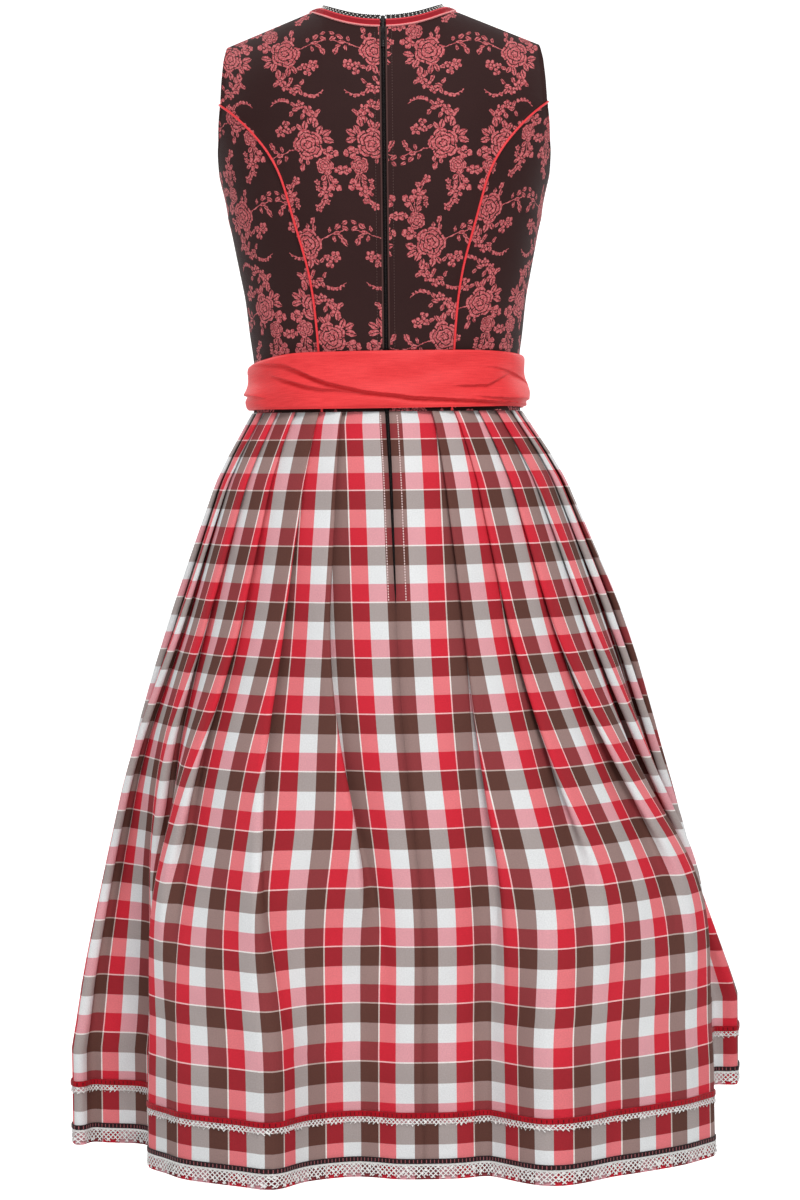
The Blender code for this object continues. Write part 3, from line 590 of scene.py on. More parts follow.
def trim_line(z, step, lift):
    """Line round the skirt at a height, from the centre back by the left, moved out by lift; its cloth."""
    v = (row_z[0] - z) / (row_z[0] - HEM_Z)
    below = min(int(np.searchsorted(rows, v)), len(rows) - 1)
    part = (v - rows[below - 1]) / (rows[below] - rows[below - 1])
    s = np.arange(0, HALF_CLOTH - 0.005, step)
    halves = []
    for side in (1, -1):
        upper, lower = (
            np.stack([np.interp(s, half_s[side][k], half_xy[side][k, :, axis]) for axis in (0, 1)], -1)
            for k in (below - 1, below))
        halves.append(upper * (1 - part) + lower * part)
    return shifted(np.concatenate([halves[0], halves[1][::-1]]), lift), np.r_[s, 2 * HALF_CLOTH - s[::-1]]


def hem_trim(node, material, profile, step, thick, edge=None):
    """Band round the hem from its profile; edge gives the share of its depth along it."""
    band = []
    for z, lift in profile:
        line, u = trim_line(z, step, lift)
        band.append(np.c_[line, np.full(len(line), z)])
    band = np.stack(band)
    if edge is not None:
        band = band[:1] + (band - band[:1]) * edge(u)[:, None]
    depth = band[:1, :, 2] - band[..., 2]
    return wear(cloth_shell(node + "_band", band, u, depth, thick, material), node)


def velvet_ribbon(name, pile, tick, period, middle):
    """Velvet ribbon: short pile with a soft sheen, and a row of small stitches that dents its middle."""
    material, shader, across, down, flat = cloth_material(name)
    noise, crushed = flat.noise(1600.0), flat.noise(90.0)
    stitch = 1 - across.between(period).soft(0.07, 0.13)
    mark = stitch * (1 - abs(down - middle).soft(0.0012, 0.0017))
    shade = noise * 0.5 + crushed * 0.7 + 0.42
    set_sockets(shader, {
        "Base Color": shade.tint(mark.blend(linear(*pile), linear(*tick))), "Roughness": noise * 0.2 + 0.70,
        "Normal": (noise - mark * 1.5).bump(0.5, 0.0004), "Sheen Weight": 0.15, "Sheen Roughness": 0.35,
        "Specular IOR Level": 0.2})
    return material


def cotton_lace(name, net, heading):
    """Cotton lace: a close heading, then a slanting net with knots where threads cross, open in between."""
    material, shader, across, down, flat = cloth_material(name)
    one_way, other_way = (1 - (across + down * lean).between(net).soft(0.11, 0.19) for lean in (1.0, -1.0))
    knots = flat.node("ShaderNodeTexVoronoi", {"voronoi_dimensions": "2D"},
                      {"Vector": flat, "Scale": 0.62 / net})
    threads = one_way.most(other_way).most(1 - knots.soft(0.13, 0.20)).most(down.under(heading))
    noise = flat.noise(700.0)
    set_sockets(shader, {
        "Base Color": (noise * 0.5 + 0.66).tint((0.86, 0.85, 0.84)), "Roughness": noise * 0.1 + 0.85,
        "Alpha": threads * 0.95, "Normal": (threads + noise * 0.4).bump(0.6, 0.0005)})
    return material


def small_points(u):
    """Narrow lace: picots on shallow scallops."""
    scallop = 0.56 + 0.16 * np.sin(math.pi * u / SHALLOW_SCALLOP) ** 2
    return scallop + 0.28 * (1 - np.abs(np.sin(math.pi * u / PICOT)))


def wide_points(u):
    """Wide lace: rounded scallops."""
    return 0.76 + 0.24 * np.abs(np.sin(math.pi * u / WIDE_SCALLOP))


red_velvet = velvet_ribbon("red_velvet", (158, 6, 26), (88, 4, 16), 0.0040, 0.0025)
narrow_lace = cotton_lace("narrow_lace", 0.0036, 0.0006)
black_velvet = velvet_ribbon("black_velvet", (34, 18, 22), (150, 84, 88), 0.0034, 0.0021)
wide_lace = cotton_lace("wide_lace", 0.0042, 0.0022)
hem_pieces = [
    hem_trim("hem_ribbon_red", red_velvet, RED_RIBBON, RIBBON_STEP, RIBBON_THICK),
    hem_trim("hem_lace_upper", narrow_lace, UPPER_LACE, 0.00055, LACE_THICK, small_points),
    hem_trim("hem_ribbon_brown", black_velvet, BLACK_RIBBON, RIBBON_STEP, RIBBON_THICK),
    hem_trim("hem_lace_lower", wide_lace, LOWER_LACE, 0.00078, LACE_THICK, wide_points),
]


# Bodice. Seven panels of cotton jacquard on the torso that the solids follow: two backs, two side backs, a
# front and two side fronts. Each is a thin shell with soft drag lines to the waist. Its UV map is the flat
# cloth that it is cut from: the distance round the body and the distance down from the shoulder.
SECTION_POWER = 2.3  # exponent of the torso sections
SHOULDER_SLOPE = 0.41
NECK_X = 0.061
TIP_X = 0.145
NECK_BACK_Z = -0.0168
NECK_FRONT_Z = -0.1050
NECK_BACK_POWER, NECK_FRONT_POWER = 2.2, 0.77  # exponents of the neckline's curves
UNDERARM_Z = -0.1725
SHOULDER_ROUND = 0.075
JACQUARD_THICK = 0.0011
SLIT = 0.0023  # half-width of the opening over the zip
SEAM_POINTS, ARMHOLE_POINTS, SIDE_POINTS = 70, 22, 30
# Torso sections, columns: height, half-width, depth of back, depth of front.
SECTIONS = np.array([
    (-0.3740, 0.1240, 0.0920, 0.0980), (-0.3450, 0.1220, 0.0905, 0.1000), (-0.3250, 0.1232, 0.0912, 0.1040),
    (-0.3050, 0.1262, 0.0935, 0.1085), (-0.2700, 0.1300, 0.0955, 0.1190), (-0.2350, 0.1370, 0.0990, 0.1260),
    (-0.2000, 0.1437, 0.1030, 0.1210), (-0.1725, 0.1490, 0.1050, 0.1130), (-0.1400, 0.1580, 0.1060, 0.1040),
    (-0.1000, 0.1650, 0.1040, 0.0950), (-0.0500, 0.1690, 0.0960, 0.0860), (0.0100, 0.1700, 0.0860, 0.0770),
])
# Princess seams and armhole edges, columns: distance from the centre, height.
PRINCESS_BACK = np.array([
    (0.0585, -0.3740), (0.0609, -0.3188), (0.0636, -0.2845), (0.0673, -0.2548), (0.0734, -0.2295),
    (0.0821, -0.2016), (0.0901, -0.1706), (0.0963, -0.1512), (0.1026, -0.1400), (0.1137, -0.1268),
    (0.1248, -0.1131), (0.1360, -0.1016), (0.1500, -0.0920),
])
PRINCESS_FRONT = np.array([
    (0.0560, -0.3740), (0.0600, -0.3200), (0.0680, -0.2750), (0.0780, -0.2300), (0.0860, -0.1900),
    (0.0970, -0.1550), (0.1130, -0.1300), (0.1320, -0.1130),
])
ARMHOLE_BACK = np.array([(0.1500, -0.0920), (0.1490, -0.0700), (0.1475, -0.0500), (0.1450, -0.0344)])
ARMHOLE_BACK_LOW = np.array([(0.1500, -0.0920), (0.1525, -0.1150), (0.1535, -0.1350), (0.1525, -0.1570)])
ARMHOLE_FRONT = np.array([(0.1320, -0.1130), (0.1340, -0.0880), (0.1390, -0.0600), (0.1450, -0.0344)])
ARMHOLE_FRONT_LOW = np.array([(0.1320, -0.1130), (0.1340, -0.1340), (0.1400, -0.1530), (0.1460, -0.1660)])


def section(z, column):
    """Half-width (1), depth of the back (2) or of the front (3) at a height, its table's corners rounded."""
    heights = (z + k for k in (-0.008, -0.004, 0, 0.004, 0.008))
    return sum(np.interp(height, SECTIONS[:, 0], SECTIONS[:, column]) for height in heights) / 5


def torso(x, z, front):
    """Point and outward normal of the torso surface at distance x from the centre and height z."""
    def depth(x, z):
        ridge = -SHOULDER_SLOPE * np.maximum(x - NECK_X, -0.0065)
        below = np.clip((ridge - z) / SHOULDER_ROUND, 1e-5, 1)
        part = np.minimum(np.abs(x) / section(z, 1), 1)
        flat = np.maximum(1 - part ** SECTION_POWER, 0) ** (1 / SECTION_POWER)
        return section(z, 3 if front else 2) * flat * (1 - (1 - below) ** 2) ** 0.6

    y = depth(x, z)
    reach = 0.0004  # of the slopes
    middle = x < reach
    slope_x = (depth(x + reach * middle, z) - depth(x - reach, z)) / (reach + reach * middle)
    slope_z = (depth(x, z + reach) - depth(x, z - reach)) / (2 * reach)
    normal = np.stack([-slope_x, np.ones_like(y), -slope_z], -1)
    normal /= np.linalg.norm(normal, axis=-1, keepdims=True)
    facing = np.array([1, -1 if front else 1, 1])
    return np.stack([x, y + SEAM, z], -1) * facing, normal * facing


def lengths(points):
    """Length run along a line at each of its points."""
    return np.r_[0, np.cumsum(np.linalg.norm(np.diff(points, axis=0), axis=1))]


def at_lengths(even, run, line):
    """Points of a line where its length run has these values."""
    return np.stack([np.interp(even, run, line[:, k]) for k in range(line.shape[1])], -1)


def resample(points, count):
    """The same line with count points, evenly spaced along it."""
    points = np.asarray(points, float)
    run = lengths(points)
    return at_lengths(np.linspace(0, run[-1], count), run, points)


def smooth_line(points, count):
    """The same line through rounded corners, with count evenly spaced points."""
    fine = resample(points, 161)
    padded = np.concatenate([2 * fine[0] - fine[12:0:-1], fine, 2 * fine[-1] - fine[-2:-14:-1]])
    return resample(sum(padded[k:k + 161] for k in range(25)) / 25, count)


def coons(left, right, bottom, top):
    """Grid between four lines; rows run from bottom to top, columns from left to right."""
    v = np.linspace(0, 1, len(left))[:, None, None]
    u = np.linspace(0, 1, len(bottom))[None, :, None]
    across = (1 - u) * left[:, None] + u * right[:, None]
    up = (1 - v) * bottom[None] + v * top[None]
    low_corners = (1 - u) * (1 - v) * bottom[0] + u * (1 - v) * bottom[-1]
    return across + up - (low_corners + (1 - u) * v * top[0] + u * v * top[-1])


def drag_lines(x, z, front):
    """Soft ridges that fan out from the waist, and one under the arm; a shallow trough at the yoke."""
    low = np.clip((-0.235 - z) / 0.08, 0, 1)
    wave = 0.00075 * low * np.sin(x * 150 + z * 22) * np.sin(x * 61 + 1.1)
    lean = (z + 0.185) + 0.62 * (x - 0.125)
    arm = 0.0011 * np.exp(-(lean / 0.010) ** 2) * np.clip((x - 0.085) / 0.03, 0, 1) * (0.6 if front else 1.0)
    yoke = 0.0006 * np.exp(-((z + 0.085 + 0.25 * x) / 0.012) ** 2) * np.clip((x - 0.05) / 0.05, 0, 1)
    return wave + arm - yoke


def around(x, z, front):
    """Distance round the torso from its centre line to x, at a height."""
    part = np.linspace(0, 1, 41)
    xs = np.minimum(x[..., None], section(z, 1)[..., None] - 1e-6) * part
    wide, deep = section(z, 1)[..., None], section(z, 3 if front else 2)[..., None]
    ys = deep * np.maximum(1 - (xs / wide) ** SECTION_POWER, 0) ** (1 / SECTION_POWER)
    return np.hypot(np.diff(xs, axis=-1), np.diff(ys, axis=-1)).sum(axis=-1)


# Jacquard: satin ground in dark brown with coral sprays of roses, small five-petal flowers, leaves and
# dotted tendrils. The cloth is folded into one cell a spray: columns are plain and mirrored by turns, rows
# upright and turned, on a boundary that steps between the sprays. Its lengths are in millimetres.
COLUMN = 70.0
PERIOD = 174.0  # of two rows
ROW_DROP = 97.0  # from an upright rose to the turned one below it
ROSE_OFFSET = 5.5  # of an upright rose from the middle of its column
SPRAY_TOP = 129.0  # an upright rose lies so far below the shoulder point
# Flowers of a spray, columns: x, y, radius, turn in degrees.
FIVE_PETALS = (
    (-3.3, 32.2, 4.3, 10), (3.7, 27.2, 4.9, 40), (7.6, 21.8, 4.9, 70), (-24.4, 8.3, 5.4, 0),
    (12.2, -47.2, 6.2, 25), (3.9, -60.9, 3.9, 60), (5.0, -38.0, 2.7, 15), (5.2, -43.3, 2.8, 50),
    (12.2, -55.7, 2.9, 0),
)
THREE_PETALS = (
    (21.0, -12.0, 6.2, 50), (26.0, -27.7, 4.4, 0), (21.0, -41.5, 6.0, 260), (-18.6, 15.0, 3.9, 75),
    (15.8, -10.8, 2.9, 180), (-16.4, 8.6, 3.0, 30),
)
ROSES = ((0.6, -4.0, 14.2, 20), (13.7, -23.5, 8.2, 60))
# Leaves, columns: x, y, half-length, half-width, turn in degrees.
LEAVES = (
    (12.6, 8.6, 5.2, 2.8, 62), (18.4, 6.2, 5.2, 2.8, 30), (19.2, -0.4, 5.6, 2.9, -14),
    (12.4, 25.2, 3.7, 1.9, 35), (9.2, 15.6, 5.0, 2.8, 82), (-0.6, 13.6, 4.8, 2.8, 78),
    (-6.2, 12.2, 4.0, 2.2, 125), (-8.0, 28.2, 3.6, 1.9, 170), (-12.4, 24.2, 3.2, 1.7, 55),
    (-9.8, 33.0, 3.4, 1.8, 120), (-1.8, 22.2, 3.6, 2.0, 60), (3.8, 17.4, 3.4, 1.8, 100),
    (-11.6, 11.0, 3.2, 1.8, 30), (-25.2, -7.6, 3.2, 1.6, 105), (-28.0, -13.2, 3.8, 2.0, 10),
    (-29.4, -18.8, 3.8, 2.2, 40), (-21.8, -16.2, 3.0, 1.5, 80), (-34.4, -5.0, 4.4, 2.4, 120),
    (-36.2, -17.2, 3.6, 1.9, 150), (-36.4, -22.6, 3.2, 1.6, 30), (-31.6, -9.6, 3.2, 1.7, 150),
    (-7.8, -18.0, 3.2, 2.0, 80), (-1.8, -19.8, 2.8, 1.6, 100), (-7.2, -24.6, 4.4, 2.1, 70),
    (11.0, -34.2, 3.6, 2.1, 50), (11.6, -39.2, 3.0, 1.6, 25), (6.2, -49.6, 2.8, 1.6, 40),
    (8.0, -57.0, 3.2, 1.9, 50), (17.6, -34.0, 3.2, 1.6, 110),
)
# Stems, columns: x, y, half-length, half-width, turn in degrees, bend.
STEMS = (
    (-20.5, -10.4, 8.6, 0.42, 24, 0.9), (15.4, -37.0, 8.0, 0.40, 278, 1.2),
    (17.4, -36.0, 7.4, 0.40, 290, -1.4), (13.0, -40.5, 7.0, 0.36, 262, 1.0),
    (8.4, -53.4, 7.4, 0.36, 238, 1.6), (-22.4, 36.0, 9.4, 0.46, 8, 3.2),
    (21.0, -25.8, 4.4, 0.38, 340, 0.8), (-32.5, -14.4, 5.6, 0.38, 25, -1.2),
    (-7.4, -21.0, 6.0, 0.34, 84, 0.6),
)
# Beads of the tendrils, columns: x, y, radius.
BEADS = (
    (-28.6, 34.6, 1.0), (-25.4, 36.5, 1.25), (-22.0, 37.5, 1.5), (-18.4, 37.1, 1.7), (-14.4, 35.8, 1.8),
)


def rose_jacquard():
    """Woven sprays: every flower, leaf, stem and bead is a shape in the plane of the folded cloth."""
    material, shader, across, down, flat = cloth_material("jacquard")
    wobble, sway = flat.noise(330.0), flat.noise(290.0)
    x = across * -1000.0 + COLUMN / 2 + (wobble - 0.5) * 2.4
    y = SPRAY_TOP - down * 1000.0 + (sway - 0.5) * 2.4
    plain = x.wrapped(2 * COLUMN).under(COLUMN)
    x = (x.wrapped(COLUMN) - COLUMN / 2) * (plain * 2 - 1)
    y = (y + PERIOD / 2).wrapped(PERIOD) - PERIOD / 2
    below = (y + (x * 0.33).least(1.0).most(-1.0) * 18.0).under(-ROW_DROP / 2)
    above = (y + (x * 0.20).least(1.0).most(-1.0) * 1.2).over((PERIOD - ROW_DROP) / 2)
    y = y + below * ROW_DROP - above * (PERIOD - ROW_DROP)
    upright = 1 - below.most(above) * 2
    place = x.node("ShaderNodeCombineXYZ", {}, {0: x * upright - ROSE_OFFSET, 1: y * upright, 2: 1.0})

    def measure(operation, vector):
        """Distance of the place from a point, or its product with a vector."""
        return place.node("ShaderNodeVectorMath", {"operation": operation}, {0: place, 1: vector}, 1)

    def nearest(flowers):
        """Angle and distance of the place as the nearest flower sees them; its radius counts as 1."""
        best = reach = None
        for x0, y0, radius, turn in flowers:
            far = measure("DISTANCE", (x0, y0, 1.0)) * (1 / radius)
            mark = (x0, y0, math.radians(turn))
            if best is None:
                best, reach = mark, far
                continue
            nearer = far.under(reach)
            best = nearer.node("ShaderNodeMix", {"data_type": "VECTOR"}, {0: nearer, 4: best, 5: mark}, 1)
            reach = far.least(reach)
        off = place.node("ShaderNodeVectorMath", {"operation": "SUBTRACT"}, {0: place, 1: best})
        px, py, turned = off.split()
        return py.maths("ARCTAN2", px) + turned, reach

    def blossom(flowers, petals):
        """Round petals with a dark line between them and a dark ring round a light heart."""
        angle, far = nearest(flowers)
        lobe = abs((angle * (petals / 2)).maths("COSINE"))
        shape = (lobe * 0.40 + 0.60).over(far)
        return shape * (1 - lobe.under(0.26) * far.over(0.34)) * (1 - far.under(0.33) * far.over(0.19))

    def rose():
        """Rounds of petals, drawn in dark lines, that wind in to the heart."""
        angle, far = nearest(ROSES)
        lobe = abs((angle * 2.5).maths("COSINE"))
        inner = abs((angle * 1.5 + 0.9).maths("COSINE"))
        shape = (lobe * 0.16 + 0.84).over(far)
        line = abs(far - 0.68 - lobe * 0.12).under(0.030).most(abs(far - 0.42 - inner * 0.13).under(0.034))
        line = line.most(abs(far - 0.18 - lobe * 0.08).under(0.034)).most(lobe.under(0.13) * far.over(0.70))
        return shape * (1 - line.most(inner.under(0.11) * far.over(0.42) * far.under(0.70)))

    def slanted(x0, y0, long, wide, turn):
        """Place along and across a slanted motif; its half-length and half-width count as 1."""
        c, s = math.cos(math.radians(turn)), math.sin(math.radians(turn))
        return (measure("DOT_PRODUCT", (c / long, s / long, -(x0 * c + y0 * s) / long)),
                measure("DOT_PRODUCT", (-s / wide, c / wide, (x0 * s - y0 * c) / wide)))

    motif = rose().most(blossom(FIVE_PETALS, 5)).most(blossom(THREE_PETALS, 3))
    for leaf in LEAVES:
        along, off = slanted(*leaf)
        off = abs(off)
        motif = motif.most(along.maths("MULTIPLY_ADD", along, off).under(1.0) * off.over(0.15))
    line = None
    for *stem, bend in STEMS:
        along, off = slanted(*stem)
        off = abs(along.maths("MULTIPLY_ADD", along * (bend / stem[3]), off)).most(abs(along))
        line = off if line is None else line.least(off)
    for x0, y0, radius in BEADS:
        line = line.least(measure("DISTANCE", (x0, y0, 1.0)) * (1 / radius))
    motif = motif.most(line.under(1.0))
    ends = across.between(0.00042).soft(0.2, 0.5)
    twill = (across + down * 0.7).between(0.0009).soft(0.1, 0.5)
    fibre, patch, weave = flat.noise(1500.0), flat.noise(18.0, 3.0), flat.noise(520.0)
    ground = fibre.blend(linear(34, 17, 18), linear(60, 35, 34))
    sheen = fibre * 0.4 + weave.soft(0.36, 0.62) * 0.6
    colour = motif.blend(ground, sheen.blend(linear(140, 34, 48), linear(216, 122, 124)))
    shade = 0.90 + patch * 0.22 - ends * 0.10 - twill * 0.08
    height = 0.0 - ends * 0.25 - twill * 0.35 + fibre * 0.2
    set_sockets(shader, {"Base Color": shade.tint(colour), "Roughness": 0.62 - motif * 0.10 + fibre * 0.12,
                         "Normal": height.bump(0.45, 0.0003), "Specular IOR Level": 0.12})
    return material


jacquard = rose_jacquard()
# Where each panel is cut from the jacquard, columns: shift round the body and drop in metres, lean of its
# grain, height about which it leans.
CUTS = {
    "bodice_back_left": (0.0755, 0.0, 0.108, 0.128), "bodice_back_right": (-0.0476, 0.0, 0.0, 0.128),
    "bodice_side_back_left": (0.1375, 0.028, 0.113, 0.196),
    "bodice_side_back_right": (-0.1020, 0.031, -0.246, 0.196),
    "bodice_side_front_left": (0.2300, 0.010, 0.100, 0.196),
    "bodice_side_front_right": (-0.2100, 0.018, -0.100, 0.196),
}


def round_torso(x, z, front):
    """Distance round the torso from the centre back, its front quarter counted as long as its back one."""
    run = around(x, z, front)
    return 2 * around(section(z, 1), z, False) - run if front else run


def bodice_panel(node, outer, inner, u, v):
    """Shell of one panel of the jacquard."""
    piece = wear(closed_shell(node + "_cloth", outer, inner, u, v, jacquard), node)
    return piece


def half_panel(node, grid, front, side):
    """Panel on one side of the dress, from its grid of distances from the centre and heights on the torso."""
    x, z = grid[..., 0], grid[..., 1]
    points, normals = torso(x, z, front)
    if (x[:, -1] >= section(z[:, -1], 1) - 2e-6).all():  # its last column is a side seam
        normals[:, -1] *= (1, 0, 1)
        normals[:, -1] /= np.linalg.norm(normals[:, -1], axis=-1, keepdims=True)
        points[:, -1, 1] = SEAM * (-1 if front else 1)
    edge = np.minimum(np.arange(x.shape[1]), np.arange(x.shape[1])[::-1]) / 4
    rise = (drag_lines(x, z, front) * np.clip(edge, 0, 1))[..., None]
    outer, inner = points + normals * rise, points + normals * (rise - JACQUARD_THICK)
    mirror = np.array([side, 1, 1])
    shift, drop, lean, middle = CUTS[node]
    u = round_torso(x, z, front) * side - shift - lean * (z + middle)
    bodice_panel(node, outer * mirror, inner * mirror, u, drop - z)


def side_grid(seam, armhole):
    """Grid from a princess seam round to the side seam, spaced by the angle round the section."""
    def angle(line):
        part = np.clip(line[:, 0] / section(line[:, 1], 1), 0, 1)
        return np.stack([np.arcsin(part ** (SECTION_POWER / 2)), line[:, 1]], -1)

    left = angle(smooth_line(seam, SEAM_POINTS))
    right = np.stack([np.full(SEAM_POINTS, math.pi / 2), np.linspace(WAIST_Z, UNDERARM_Z, SEAM_POINTS)], -1)
    under_arm = np.concatenate([angle(resample(armhole, 12)), [(math.pi / 2, UNDERARM_Z)]])
    top = resample(under_arm, SIDE_POINTS)
    grid = coons(left, right, np.linspace(left[0], right[0], SIDE_POINTS), top)
    z = grid[..., 1]
    x = section(z, 1) * np.sin(grid[..., 0]) ** (2 / SECTION_POWER)
    x[:, 0] += SEAM
    x[:, -1] = section(z[:, -1], 1) - 1e-6
    return np.stack([x, z], -1)


def middle_grid(seam, armhole, neck, centre_x):
    """Grid from the centre line to a princess seam, up to the neckline and the shoulder."""
    edge = np.concatenate([smooth_line(seam, SEAM_POINTS), resample(armhole, ARMHOLE_POINTS)[1:]])
    neck = neck.copy()
    neck[0, 0] = centre_x
    top = np.concatenate([neck, resample(shoulder, 16)[1:]])
    centre = np.stack([np.full(len(edge), centre_x), np.linspace(WAIST_Z, neck[0, 1], len(edge))], -1)
    grid = coons(centre, edge, np.linspace(centre[0], edge[0], len(top)), top)
    grid[:, -1, 0] -= SEAM
    return grid


across_neck = np.linspace(0, NECK_X, 22)
neck_back = np.stack([across_neck, NECK_BACK_Z * (1 - (across_neck / NECK_X) ** NECK_BACK_POWER)], -1)
quarter = np.linspace(math.pi / 2, 0, 34)
neck_front = np.stack([NECK_X * np.cos(quarter) ** NECK_FRONT_POWER,
                       NECK_FRONT_Z * np.sin(quarter) ** NECK_FRONT_POWER], -1)
neck_front[0] = (0, NECK_FRONT_Z)
shoulder = np.array([(NECK_X, 0), (TIP_X, -SHOULDER_SLOPE * (TIP_X - NECK_X))])
back_grid = middle_grid(PRINCESS_BACK, ARMHOLE_BACK, neck_back, SLIT)
side_back_grid = side_grid(PRINCESS_BACK, ARMHOLE_BACK_LOW)
side_front_grid = side_grid(PRINCESS_FRONT, ARMHOLE_FRONT_LOW)
for side, name in SIDES:
    half_panel("bodice_back_" + name, back_grid, False, side)
    half_panel("bodice_side_back_" + name, side_back_grid, False, side)
for side, name in SIDES:
    half_panel("bodice_side_front_" + name, side_front_grid, True, side)
# The front panel is one piece over both sides, so its half is mirrored at the centre front.
front_grid = middle_grid(PRINCESS_FRONT, ARMHOLE_FRONT, neck_front, 0.0)
x, z = front_grid[..., 0], front_grid[..., 1]
points, normals = torso(x, z, True)
normals[:, 0, 0] = 0
rise = drag_lines(x, z, True)[..., None] * np.clip(np.arange(x.shape[1])[::-1] / 4, 0, 1)[:, None]
outer, inner = (np.concatenate([(wall * (-1, 1, 1))[:, :0:-1], wall], 1)
                for wall in (points + normals * rise, points + normals * (rise - JACQUARD_THICK)))
run = round_torso(x, z, True)
run = np.concatenate([-run[:, :0:-1], run], 1) + COLUMN / 2000
bodice_panel("bodice_front", outer, inner, run, -np.concatenate([z[:, :0:-1], z], 1))


# Sash: one strip of soft red cotton satin, wrapped from the centre front round the back to the centre front,
# where its end laps over its start. It is draped in slanting folds: each fold line is the edge of a layer
# over the cloth below it, a step that dies away upwards; the rest is soft troughs and a bulge at each side.
SASH_THICK = 0.0009
SASH_START, SASH_END = -2.90, math.pi + 0.33
SASH_LAP = 0.0020
LEAST_RISE = 0.0012
# Edges of the sash, columns: turn from the centre back, height of the upper edge, height of the lower edge.
SASH_EDGES = np.array([
    (-3.10, -0.3220, -0.3712), (-2.20, -0.3235, -0.3715), (-1.57, -0.3250, -0.3716),
    (-1.10, -0.3212, -0.3700), (-0.70, -0.3190, -0.3704), (0.00, -0.3190, -0.3712),
    (0.70, -0.3200, -0.3712), (1.10, -0.3268, -0.3712), (1.57, -0.3325, -0.3718),
    (2.20, -0.3270, -0.3715), (3.60, -0.3220, -0.3712),
])
# Fold lines, a table each, columns: turn, height of the edge, its step in millimetres.
SASH_FOLDS = [np.array(fold) for fold in (
    ((-1.90, -0.3712, 0.6), (-1.50, -0.3695, 1.6), (-0.98, -0.3664, 2.4), (-0.49, -0.3636, 2.9),
     (-0.14, -0.3611, 3.2), (0.12, -0.3552, 3.4), (0.35, -0.3478, 3.6), (0.48, -0.3424, 3.6),
     (0.62, -0.3356, 3.2), (0.76, -0.3304, 2.2), (1.00, -0.3296, 1.2), (1.40, -0.3310, 0.0)),
    ((0.05, -0.3590, 0.0), (0.216, -0.3564, 0.9), (0.293, -0.3545, 1.4), (0.431, -0.3530, 2.2),
     (0.574, -0.3494, 3.0), (0.688, -0.3458, 3.0), (0.816, -0.3428, 1.8), (0.96, -0.3405, 0.0)),
    ((-1.05, -0.3395, 0.0), (-0.90, -0.3442, 1.2), (-0.74, -0.3506, 2.0), (-0.52, -0.3508, 1.5),
     (-0.40, -0.3520, 0.0)),
    ((-1.70, -0.3650, 0.4), (-1.35, -0.3637, 2.4), (-1.00, -0.3628, 2.0), (-0.70, -0.3616, 1.2),
     (-0.58, -0.3600, 0.0)),
    ((0.98, -0.3612, 0.0), (1.14, -0.3592, 1.4), (1.42, -0.3572, 2.6), (1.75, -0.3590, 1.4),
     (2.05, -0.3660, 0.0)),
    ((-1.55, -0.3520, 0.0), (-1.36, -0.3470, 0.8), (-1.10, -0.3400, 1.2), (-0.86, -0.3352, 0.9),
     (-0.62, -0.3330, 0.0)),
    ((1.45, -0.3360, 0.0), (1.80, -0.3420, 1.8), (2.30, -0.3520, 2.6), (2.80, -0.3630, 2.4),
     (3.20, -0.3710, 0.6)),
    ((2.10, -0.3300, 0.0), (2.50, -0.3350, 1.4), (2.90, -0.3430, 1.9), (3.40, -0.3560, 2.2)),
    ((-3.10, -0.3330, 1.9), (-2.70, -0.3400, 2.5), (-2.20, -0.3500, 2.3), (-1.95, -0.3580, 1.2),
     (-1.70, -0.3660, 0.0)),
)]
SASH_COLUMNS, SASH_ROWS = 620, 84


def sash_rise(turn, z, share):
    """Distance of the sash off the bodice: its lap, its folds, its soft troughs and its bulges."""
    rise = 0.0033 + SASH_LAP * np.clip((turn - 2.70) / 0.35, 0, 1)
    for fold in SASH_FOLDS:
        height = 0.001 * np.interp(turn, fold[:, 0], fold[:, 2], 0, 0)
        off = z - np.interp(turn, fold[:, 0], fold[:, 1])
        trough = np.exp(off / 0.0005) - 0.85 * np.exp(-(off / 0.0042) ** 2)
        rise = rise + height * np.where(off > 0, np.exp(-off / 0.016), trough)
    soft = np.sin(turn * 5.1 + z * 240 + 1.2 * np.sin(turn * 2.3)) + 0.7 * np.sin(turn * 11.0 - z * 160)
    rise = rise + 0.00055 * soft + 0.0006
    low = np.exp(-((share - 0.70) / 0.26) ** 2)
    left, right = (np.exp(-((turn - seam) / 0.42) ** 2) for seam in (1.50, -1.50))
    rise = rise + (0.0036 * left + 0.0030 * right) * low
    rise = rise - 0.0010 * np.exp(-(share / 0.03) ** 2) - 0.0012 * np.exp(-((1 - share) / 0.03) ** 2)
    return np.maximum(rise, LEAST_RISE)


def waist_wall(turn, z, rise):
    """Points of the sash at a distance off the torso section."""
    half_depth = np.where(np.cos(turn) > 0, section(z, 2), section(z, 3))
    x, y = ((half + rise) * np.sign(part) * np.abs(part) ** (2 / SECTION_POWER)
            for half, part in ((section(z, 1), np.sin(turn)), (half_depth, np.cos(turn))))
    return np.stack([x, y, z], -1)


def sash_satin():
    """Soft satin: fine threads both ways, slightly streaked along the strip."""
    material, shader, across, down, flat = cloth_material("sash_satin")
    fibre = flat.noise(900.0, 3.0)
    grain = flat.node("ShaderNodeMapping", {"vector_type": "TEXTURE"},
                      {"Vector": flat, "Scale": (1.0, 0.06, 1.0)})
    streak = grain.noise(60.0, 3.0)
    picks, warps = (place.between(0.0005).soft(0.2, 0.5) for place in (down, across))
    colour = streak.blend(linear(208, 38, 44), linear(236, 66, 68))
    height = fibre * 0.6 - picks.most(warps) * 0.6
    set_sockets(shader, {
        "Base Color": (fibre * 0.24 + 0.90 - picks * 0.05).tint(colour), "Roughness": streak * 0.12 + 0.44,
        "Normal": height.bump(0.3, 0.0002), "Specular IOR Level": 0.25})
    return material


